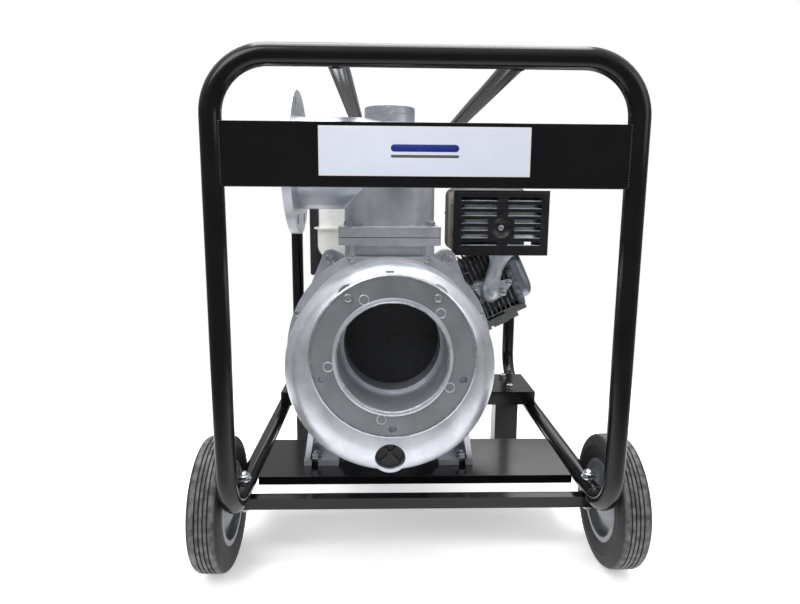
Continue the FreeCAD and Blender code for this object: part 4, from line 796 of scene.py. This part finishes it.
def makeExhaust():
    # stations of the pipe: how far along its bend or above it, lean to the right, half widths in X and Y
    pipe = {"portZ": 383, "bend": 18, "around": 44, "headFace": 58, "turnSteps": 10,
            "ears": ((134, 398), (188, 387), (200, 407)), "studs": (7.6, 7.6, 5), "flangeThick": 5,
            "rise": ((8, 1, 17.2, 15.5), (20, 3.5, 15.8, 14.5), (32, 7, 15.5, 14), (42, 10.5, 16.2, 14),
                     (52, 14, 19, 14), (60, 16.5, 23.5, 14), (67, 18, 29, 14), (74, 19, 34, 14),
                     (87, 19, 38, 14))}
    low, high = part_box("exhaust_pipe")
    portX, portZ, bend = (low.x + high.x) / 2, pipe["portZ"] * mm, pipe["bend"] * mm
    bendY, bendZ = pipe["headFace"] * mm, portZ + bend
    stations = []
    for step in range(pipe["turnSteps"] + 1):
        turn = math.radians(90 * step / pipe["turnSteps"])
        centre = Vector((portX, bendY - bend * math.sin(turn), bendZ - bend * math.cos(turn)))
        stations.append((centre, Vector((0, -math.cos(turn), math.sin(turn))), 19 - step * 0.1,
                         18 - step * 0.15))
    for above, lean, halfX, halfY in pipe["rise"]:
        stations.append((Vector((portX + lean * mm, bendY - bend, bendZ + above * mm)), Vector((0, 0, 1)),
                         halfX, halfY))
    count, verts, faces = pipe["around"], [], []
    for centre, along, halfX, halfY in stations:
        side = Vector((1, 0, 0)).cross(along)
        for step in range(count):
            angle = 2 * math.pi * step / count
            verts.append(centre + Vector((halfX * mm * math.cos(angle), 0, 0))
                         + side * halfY * mm * math.sin(angle))
    for ring in range(len(stations) - 1):
        faces += [(ring * count + i, ring * count + (i + 1) % count, (ring + 1) * count + (i + 1) % count,
                   (ring + 1) * count + i) for i in range(count)]
    last = (len(stations) - 1) * count
    faces += [tuple(range(count)), tuple(range(last, last + count))]
    tube = newPiece("exhaustTube", meshFrom(verts, faces), heatCoating)
    smoothByAngle(tube.data, 50)
    ease = tube.modifiers.new("ease", "SUBSURF")
    ease.levels = ease.render_levels = 1
    bakeModifiers(tube)
    # a three-eared flange with nuts on its studs
    ears = [Vector((x * mm, 0, z * mm)) for x, z in pipe["ears"]]
    flangeOutline = (arc((ears[1].x, ears[1].z), 8 * mm, -80, 10, 6)
                     + arc((ears[2].x, ears[2].z), 7 * mm, -30, 110, 8)
                     + arc((portX, portZ + 8 * mm), 20 * mm, 60, 120, 8)
                     + arc((ears[0].x, ears[0].z), 8 * mm, 110, 242, 8)
                     + arc((portX, portZ + 4 * mm), 20 * mm, 230, 305, 8))
    flange = flatPlate("exhaustFlange", [flangeOutline], pipe["flangeThick"] * mm, 0.8 * mm,
                       standing(0, (pipe["headFace"] - 2.6) * mm, 0),
                       heatCoating)
    nutShape = {"Hexagon": 0.8, "Washer": 0.2, "Washer radius": 1.15, "Tip turns": 3}
    nutY = (pipe["headFace"] - pipe["flangeThick"] - 0.2) * mm
    nuts = grow("exhaustNuts", seedMesh([(e.x, nutY, e.z) for e in ears], [(0, -1, 0)] * 3,
                                        [size * mm for size in pipe["studs"]]), fastenerGroup, nutShape,
                zincPlate)
    rideAs(joinMeshes("exhaust_pipe_skin", [tube, flange, nuts]), "root", ["exhaust_pipe"])


# the cylinder leans 25 degrees from level: X runs along it, Y along the crankshaft and Z across both
cylinderTilt = Matrix.Translation((pumpX, cylinderY, shaftZ)) @ Matrix.Rotation(math.radians(-25), 4, "Y")


def makeHead():
    head = {"barWide": 2.4 * mm, "barDeep": 2.0 * mm, "start": 180, "end": 274, "lower": -57.6, "upper": 46}
    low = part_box("cylinder_head")[0]
    mesh = nodeMesh("cylinder_head")
    obj = newPiece("head", mesh, headPaint, finEdgeHighlight)
    # the fins' front edges take the bright painted highlight
    paintFaces(mesh, 1, lambda face: face.center.y < low.y + 0.4 * mm and face.normal.y < -0.9)
    smoothByAngle(mesh, 32)
    ease = obj.modifiers.new("ease", "BEVEL")
    ease.width, ease.segments, ease.limit_method = 0.5 * mm, 1, "ANGLE"
    bakeModifiers(obj)
    # two bars cast across the fins, one along the lower edge and a short one near the top, coloured bright as
    # a painted highlight
    bars = []
    for name, start, end, level in (("lowerBar", head["start"], head["end"], head["lower"]),
                                    ("upperBar", head["start"] + 4, head["start"] + 24, head["upper"])):
        outline = roundedOutline(((start + end) / 2 * mm, level * mm), (end - start) * mm, head["barWide"],
                                 0.8 * mm)
        place = cylinderTilt @ standing(0, low.y - cylinderY + 0.6 * mm, 0)
        bars.append(flatPlate(name, [outline], head["barDeep"], 0.4 * mm, place, finEdgeHighlight))
    rideAs(joinMeshes("cylinder_head_skin", [obj] + bars), "root", ["cylinder_head"])


def makeValveCover():
    cover = {"seamAt": 284, "seamThick": 2.4, "long": 31, "seamHalf": (60, 58)}
    low = Vector((cover["seamAt"] * mm, -50 * mm, -58 * mm))
    high = Vector(((cover["seamAt"] + cover["long"]) * mm, 66 * mm, 54 * mm))
    middle, half = (low + high) / 2, (high - low) / 2
    # a deep drawn cap: straight flanks, a round shoulder and a slightly crowned top
    shoulder = [(11 + 18 * math.sin(t), 1.5 + 22 * (1 - math.cos(t))) for t in
                (math.radians(a) for a in range(0, 91, 9))]
    outline = [(0, 0), (4, 0.4)] + shoulder + [(29.9, 34), (30.6, 46)]
    steps, rings, verts, faces = 72, len(outline) - 1, [], []
    for lift, inset in outline:
        for step in range(steps):
            angle = 2 * math.pi * step / steps
            across, up = math.cos(angle), math.sin(angle)
            square = (abs(across) ** 5 + abs(up) ** 5) ** (-1 / 5)
            verts.append((low.x + lift * mm, middle.y + (half.y - inset * mm) * across * square,
                          middle.z + (half.z - inset * mm) * up * square))
    for ring in range(rings):
        faces += [(ring * steps + i, ring * steps + (i + 1) % steps, (ring + 1) * steps + (i + 1) % steps,
                   (ring + 1) * steps + i) for i in range(steps)]
    faces.append(tuple(range(rings * steps, (rings + 1) * steps)))
    faces.append(tuple(range(steps)))
    capMesh = meshFrom(verts, faces, 1e-5)
    capMesh.transform(cylinderTilt)
    cap = newPiece("cap", capMesh, silverCoatAndLipHighlight)
    smoothByAngle(capMesh, 50)
    seamOutline = roundedOutline((middle.y, middle.z), 2 * cover["seamHalf"][0] * mm,
                                 2 * cover["seamHalf"][1] * mm, 12 * mm)
    seamX = (cover["seamAt"] + cover["seamThick"] / 2) * mm
    lie = cylinderTilt @ standing(seamX, 0, 0, "X")
    seam = flatPlate("seam", [seamOutline], cover["seamThick"] * mm, 0.7 * mm, lie, silverCoatAndLipHighlight)
    rideAs(joinMeshes("valve_cover_skin", [cap, seam]), "root", ["valve_cover"])


def makeLabel():
    label = {"margin": 1.6 * mm, "blueBar": (86, 9), "greyBar": (86, 3.5)}
    low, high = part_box("label_plate")
    middle = ((low.x + high.x) / 2, (low.z + high.z) / 2)
    wide, tall = high.x - low.x, high.z - low.z
    plate = flatPlate("plate", [roundedOutline(middle, wide, tall, 0.8 * mm)], 0.8 * mm, 0.15 * mm,
                      standing(0, low.y + 0.4 * mm, 0), creamEnamel)
    face = flatPlate("face", [roundedOutline(middle, wide - 2 * label["margin"], tall - 2 * label["margin"],
                                             0.5 * mm)], 0.2 * mm, 0.03 * mm,
                     standing(0, low.y - 0.02 * mm, 0), printedPanel)
    bars = []
    for name, (long_, thick), drop, mat in (("blueBar", label["blueBar"], 4, printBlue),
                                            ("greyBar", label["greyBar"], -6, printGrey)):
        outline = roundedOutline((middle[0], middle[1] + drop * mm), long_ * mm, thick * mm,
                                 thick / 2 * mm - 1e-5)
        bars.append(flatPlate(name, [outline], 0.2 * mm, 0.03 * mm, standing(0, low.y - 0.08 * mm, 0), mat))
    rideAs(joinMeshes("label_plate_skin", [plate, face] + bars), "root", ["label_plate"])


def makeCastMarks():
    # the round prints that ejector pins leave in a die casting, and the mould's small square notch
    marks = {"pinRadius": 6.35 * mm, "circle": 87 * mm, "angles": (116, 44, -28, -100, 188),
             "neckRadius": 7 * mm, "neckApart": 52.5 * mm, "neckFront": -209 * mm, "neckUp": 8.5 * mm,
             "capRadius": 5 * mm, "capFront": -168.9 * mm, "capDown": 7 * mm,
             "notchAt": (-45.6 * mm, -346.5 * mm, 474.2 * mm)}
    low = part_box("suction_cover")[0]
    bore = next(m for m in frame["record"]["mounts"] if m["name"] == "suction_bore")["pos_m"]
    face = low.y + 2 * mm
    places = [(bore[0] + marks["circle"] * math.cos(math.radians(a)), face,
               bore[2] + marks["circle"] * math.sin(math.radians(a))) for a in marks["angles"]]
    sizes = [marks["pinRadius"]] * len(places)
    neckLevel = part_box("discharge_elbow")[0].z + marks["neckUp"]
    places += [(pumpX + side * marks["neckApart"], marks["neckFront"], neckLevel) for side in (-1, 1)]
    sizes += [marks["neckRadius"]] * 2
    places.append((pumpX, marks["capFront"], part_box("priming_plug")[1].z - marks["capDown"]))
    sizes.append(marks["capRadius"])
    aims = [(0, -1, 0)] * len(places)
    rings = grow("cast_marks", seedMesh(places, aims, sizes), ringGroup, {"Line": 0.1}, castAluminium)
    # the lathe's bright lip round the suction bore, the disc's bright chamfer, and the mould's small notch
    # drawn as a black plate for painted shade
    def turnedRing(name, profile, material):
        ring = newPiece(name, spunMesh([(low.y + y * mm, r * mm) for y, r in profile], "Y",
                                       (bore[0], bore[2]), 160), material)
        smoothByAngle(ring.data, 30)
        return ring

    lip = turnedRing("lip", [(2.4, 81.4), (0.8, 81.0), (-0.4, 80.2), (-0.8, 79.2), (-0.8, 77.4), (-0.2, 75.6),
                             (1.0, 74.2), (5, 73.9), (5, 75.5), (3, 79)], castAluminium)
    rim = turnedRing("rim", [(y - 0.2, r) for y, r in arc((0, 75.1), 1.0, 0, 330, 11)], turnedAluminium)
    chamfer = turnedRing("chamfer", [(1.2, 109.2), (0.9, 110.6), (2.0, 112.2), (6, 112.3), (6, 110.5)],
                         turnedAluminium)
    # the notch is a black plate in engine paint: painted shade where the recess is
    notch = flatPlate("notch", [roundedOutline((0, 0), 11.6 * mm, 5.2 * mm, 1.2 * mm)], 1.2 * mm, 0.3 * mm,
                      Matrix.Translation(marks["notchAt"])
                      @ Matrix.Rotation(math.radians(38), 4, "X"), headPaint)
    rideAs(joinMeshes("cast_marks", [rings, lip, rim, chamfer, notch]), "root")


def makeWelds():
    weld = {"radius": 14 * mm, "points": 48, "under": 0.9 * mm, "barY": 363.5 * mm, "topGap": 2.5 * mm,
            "beamEnd": 259 * mm, "beamGap": 2 * mm}
    r, steps = weld["radius"], weld["points"]
    turns = [2 * math.pi * i / steps for i in range(steps)]
    verts, edges = [], []

    def addPath(points, closed=True):
        start = len(verts)
        verts.extend(points)
        count = len(points)
        edges.extend((start + i, start + (i + 1) % count) for i in range(count if closed else count - 1))

    # a rail's bead follows the line where two round tubes meet, and stays below the hoop's top
    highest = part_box("front_hoop")[1].z - weld["topGap"]
    for name in ("top_rail_left", "top_rail_right"):
        low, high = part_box(name)
        x, z = (low.x + high.x) / 2, (low.z + high.z) / 2
        for sign in (1, -1):
            addPath([(x + r * math.cos(t), sign * (r * abs(math.cos(t)) + 0.6 * mm - weld["barY"]),
                      min(z + r * math.sin(t), highest)) for t in turns])
    around = r - weld["under"]
    for name in ("base_rail_left", "base_rail_right"):
        low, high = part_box(name)
        x, z = (low.x + high.x) / 2, (low.z + high.z) / 2
        for y in (low.y, high.y):
            addPath([(x + around * math.cos(t), y, z + around * math.sin(t)) for t in turns])
    low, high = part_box("front_beam")
    for x in (-weld["beamEnd"], weld["beamEnd"]):
        addPath([(x, low.y + 0.6 * mm, z) for z in (low.z + weld["beamGap"], high.z - weld["beamGap"])],
                False)
    seeds = bpy.data.meshes.new("weldPaths")
    seeds.from_pydata(verts, edges, [])
    beads = grow("weld_beads", seeds, weldGroup, {"Step": 1.9 * mm, "Drop": 2.1 * mm, "Seed": 11},
                 blackEnamel, 60)
    rideAs(beads, "root")


def makeRibs(name, places, turns, size, material):
    long_, wide, tall = (length * mm for length in size)
    return grow(name, seedMesh(places, turns), ribGroup, {"Long": long_, "Wide": wide, "Tall": tall},
                material)


def makeRecoilDetails():
    # in millimetres: the ribs, slots and badge pressed in the recoil cover, and the screws round both covers
    recoil = {"ribs": 12, "ribAt": 50, "ribSize": (36, 5, 4), "slotAt": 52, "slotSize": (26, 5.5, 0.8),
              "badge": 24, "screws": 4, "screw": 6, "boltAt": 95, "fanBoltAt": 113}
    low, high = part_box("recoil_cover")
    axisX, axisZ = (low.x + high.x) / 2, (low.z + high.z) / 2
    flat = high.y

    def ringOf(count, radius, level, start=0.0):
        angles = [start + 2 * math.pi * i / count for i in range(count)]
        places = [(axisX + radius * mm * math.cos(t), level, axisZ + radius * mm * math.sin(t))
                  for t in angles]
        return places, [(0, -t, 0) for t in angles]

    places, turns = ringOf(recoil["ribs"], recoil["ribAt"], flat)
    raised = makeRibs("recoilRibs", places, turns, recoil["ribSize"], satinSheet)
    places, turns = ringOf(recoil["ribs"], recoil["slotAt"], flat, math.pi / recoil["ribs"])
    sunk = makeRibs("recoilSlots", places, turns, recoil["slotSize"], headPaint)
    round_ = recoil["badge"]
    outline = [(-1, round_), (0.8, round_), (1.6, round_ - 1), (1.4, round_ - 4), (1.4, 0)]
    badge = newPiece("badge", spunMesh([(flat + y * mm, r * mm) for y, r in outline], "Y", (axisX, axisZ),
                                       64), satinSheet)
    smoothByAngle(badge.data, 30)
    flanged = {"Hexagon": 0.46, "Washer": 0.13, "Washer radius": 1.1, "Tip turns": 0}
    count, made = recoil["screws"], [raised, sunk, badge]
    for name, radius, level, start in (
            ("recoilBolts", recoil["boltAt"], low.y + 4 * mm, math.pi / 4),
            ("fanBolts", recoil["fanBoltAt"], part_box("fan_cover")[1].y, 0.35)):
        places = ringOf(count, radius, level, start)[0]
        seeds = seedMesh(places, [(0, 1, 0)] * count, [recoil["screw"] * mm] * count)
        made.append(grow(name, seeds, fastenerGroup, flanged, zincPlate))
    rideAs(joinMeshes("recoil_details", made), "root")


def makeCleanerDetails():
    # the seam where the air cleaner's lid meets its base, and the two spring latches over it
    cleaner = {"seamAt": 0.62, "proud": 1.6 * mm, "bandTall": 5 * mm, "corner": 19 * mm, "latchIn": 40 * mm,
               "latch": (16 * mm, 30 * mm), "latchThick": 2.5 * mm}
    low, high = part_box("air_cleaner")
    middle = ((low.x + high.x) / 2, (low.y + high.y) / 2)
    seamZ = low.z + cleaner["seamAt"] * (high.z - low.z)
    outline = roundedOutline(middle, high.x - low.x + 2 * cleaner["proud"],
                             high.y - low.y + 2 * cleaner["proud"], cleaner["corner"])
    made = [flatPlate("band", [outline], cleaner["bandTall"], 1.2 * mm, standing(0, 0, seamZ, "Z"),
                      mouldedPlastic)]
    for n, x in enumerate((low.x + cleaner["latchIn"], high.x - cleaner["latchIn"])):
        made.append(flatPlate(f"latch{n}", [roundedOutline((x, seamZ), *cleaner["latch"], 3 * mm)],
                              cleaner["latchThick"], 0.8 * mm, standing(0, high.y + 2.2 * mm, 0),
                              turnedSteel))
    rideAs(joinMeshes("air_cleaner_details", made), "root")


def makeCapRibs():
    cap = {"ribs": 20, "ribSize": (15, 3, 3), "down": 1 * mm}
    low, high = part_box("fuel_cap")
    middle, radius = (low + high) / 2, (high.x - low.x) / 2
    turns = [2 * math.pi * i / cap["ribs"] for i in range(cap["ribs"])]
    places = [(middle.x + radius * math.cos(t), middle.y + radius * math.sin(t), middle.z - cap["down"])
              for t in turns]
    grip = makeRibs("capRibs", places, [(0, math.pi / 2, 0)] * cap["ribs"], cap["ribSize"], mouldedPlastic)
    rideAs(joinMeshes("fuel_cap_ribs", [grip]), "fuel_cap")


makeTyres()
print("tyres made")
makeFasteners()
print("fasteners made")
makeGuard()
makeExhaust()
makeHead()
makeValveCover()
print("engine's front made")
makeLabel()
makeCastMarks()
makeWelds()
makeRecoilDetails()
makeCleanerDetails()
makeCapRibs()
print("label, casting marks, welds and the rear's details made")


# ---- stage: floor, lights, camera
def makeStage():
    floorMat = newMaterial("paleFloor", {"dark": "#f6f6f6", "light": "#fafafa", "patch": 400 * mm,
                                         "rough": (0.6, 0.7), "grain": 8 * mm, "depth": 0.01 * mm})
    tree = floorMat.node_tree
    shader = next(n for n in tree.nodes if n.type == "BSDF_PRINCIPLED")
    shader.inputs["Emission Color"].default_value = (1, 1, 1, 1)
    shader.inputs["Emission Strength"].default_value = 0.35
    place = addNode(tree, "ShaderNodeTexCoord").outputs["Object"]
    away = addNode(tree, "ShaderNodeVectorMath", {0: place}, operation="LENGTH").outputs["Value"]
    fade = addNode(tree, "ShaderNodeMapRange", {"Value": away, "From Min": 0.35, "From Max": 1.25},
                   interpolation_type="SMOOTHSTEP").outputs[0]
    clear = addNode(tree, "ShaderNodeBsdfTransparent")
    mixed = addNode(tree, "ShaderNodeMixShader", {0: fade, 1: shader.outputs[0], 2: clear.outputs[0]})
    output = next(n for n in tree.nodes if n.type == "OUTPUT_MATERIAL")
    tree.links.new(mixed.outputs[0], output.inputs["Surface"])
    bm = bmesh.new()
    bmesh.ops.create_circle(bm, cap_ends=True, segments=96, radius=2.0)
    mesh = bpy.data.meshes.new("floor")
    bm.to_mesh(mesh)
    bm.free()
    newPiece("floor", mesh, floorMat)

    world = bpy.data.worlds.new("studio")
    bpy.context.scene.world = world
    world.use_nodes = True
    tree = world.node_tree
    tree.nodes.clear()
    direction = addNode(tree, "ShaderNodeTexCoord").outputs["Generated"]
    height = addNode(tree, "ShaderNodeSeparateXYZ", {0: direction}).outputs[2]
    shade = addNode(tree, "ShaderNodeMapRange", {"Value": height, "From Min": 0.15, "From Max": 0.8,
                                                 "To Min": 0.27, "To Max": 1.25}).outputs[0]
    seen = addNode(tree, "ShaderNodeLightPath").outputs["Is Camera Ray"]
    strength = addNode(tree, "ShaderNodeMix", {0: seen, 2: shade, 3: 1.0}, data_type="FLOAT").outputs[0]
    back = addNode(tree, "ShaderNodeBackground", {"Color": linear("#ffffff"), "Strength": strength})
    addNode(tree, "ShaderNodeOutputWorld", {"Surface": back.outputs[0]})

    lamps = {
        "keyLight": {"at": (-1.6, -2.2, 2.6), "size": 1.6, "power": 42},
        "fillLight": {"at": (2.2, -1.6, 1.5), "size": 1.4, "power": 10},
        "topLight": {"at": (0.0, 0.2, 2.8), "size": 2.0, "power": 85},
        "backLight": {"at": (0.6, 2.8, 2.2), "size": 1.6, "power": 14},
    }
    for name, lamp in lamps.items():
        data = bpy.data.lights.new(name, "AREA")
        data.size, data.energy = lamp["size"], lamp["power"]
        obj = bpy.data.objects.new(name, data)
        bpy.context.scene.collection.objects.link(obj)
        obj.location = lamp["at"]
        obj.rotation_euler = (Vector((0, 0, 0.35)) - Vector(lamp["at"])).to_track_quat("-Z", "Y").to_euler()

    view = {"at": (-0.0545, -1.1364, 0.5660), "yaw": 1.64, "pitch": 9.54, "roll": 0.386, "lens": 26.69}
    data = bpy.data.cameras.new("camera")
    data.lens, data.sensor_width = view["lens"], 36.0
    camera = bpy.data.objects.new("camera", data)
    bpy.context.scene.collection.objects.link(camera)
    turn = (Matrix.Rotation(-math.radians(view["yaw"]), 4, "Z")
            @ Matrix.Rotation(math.radians(90 - view["pitch"]), 4, "X")
            @ Matrix.Rotation(math.radians(view["roll"]), 4, "Z"))
    camera.matrix_world = Matrix.Translation(view["at"]) @ turn
    bpy.context.scene.camera = camera
    bpy.context.scene.view_settings.view_transform = "Standard"


makeStage()
print("stage ready")
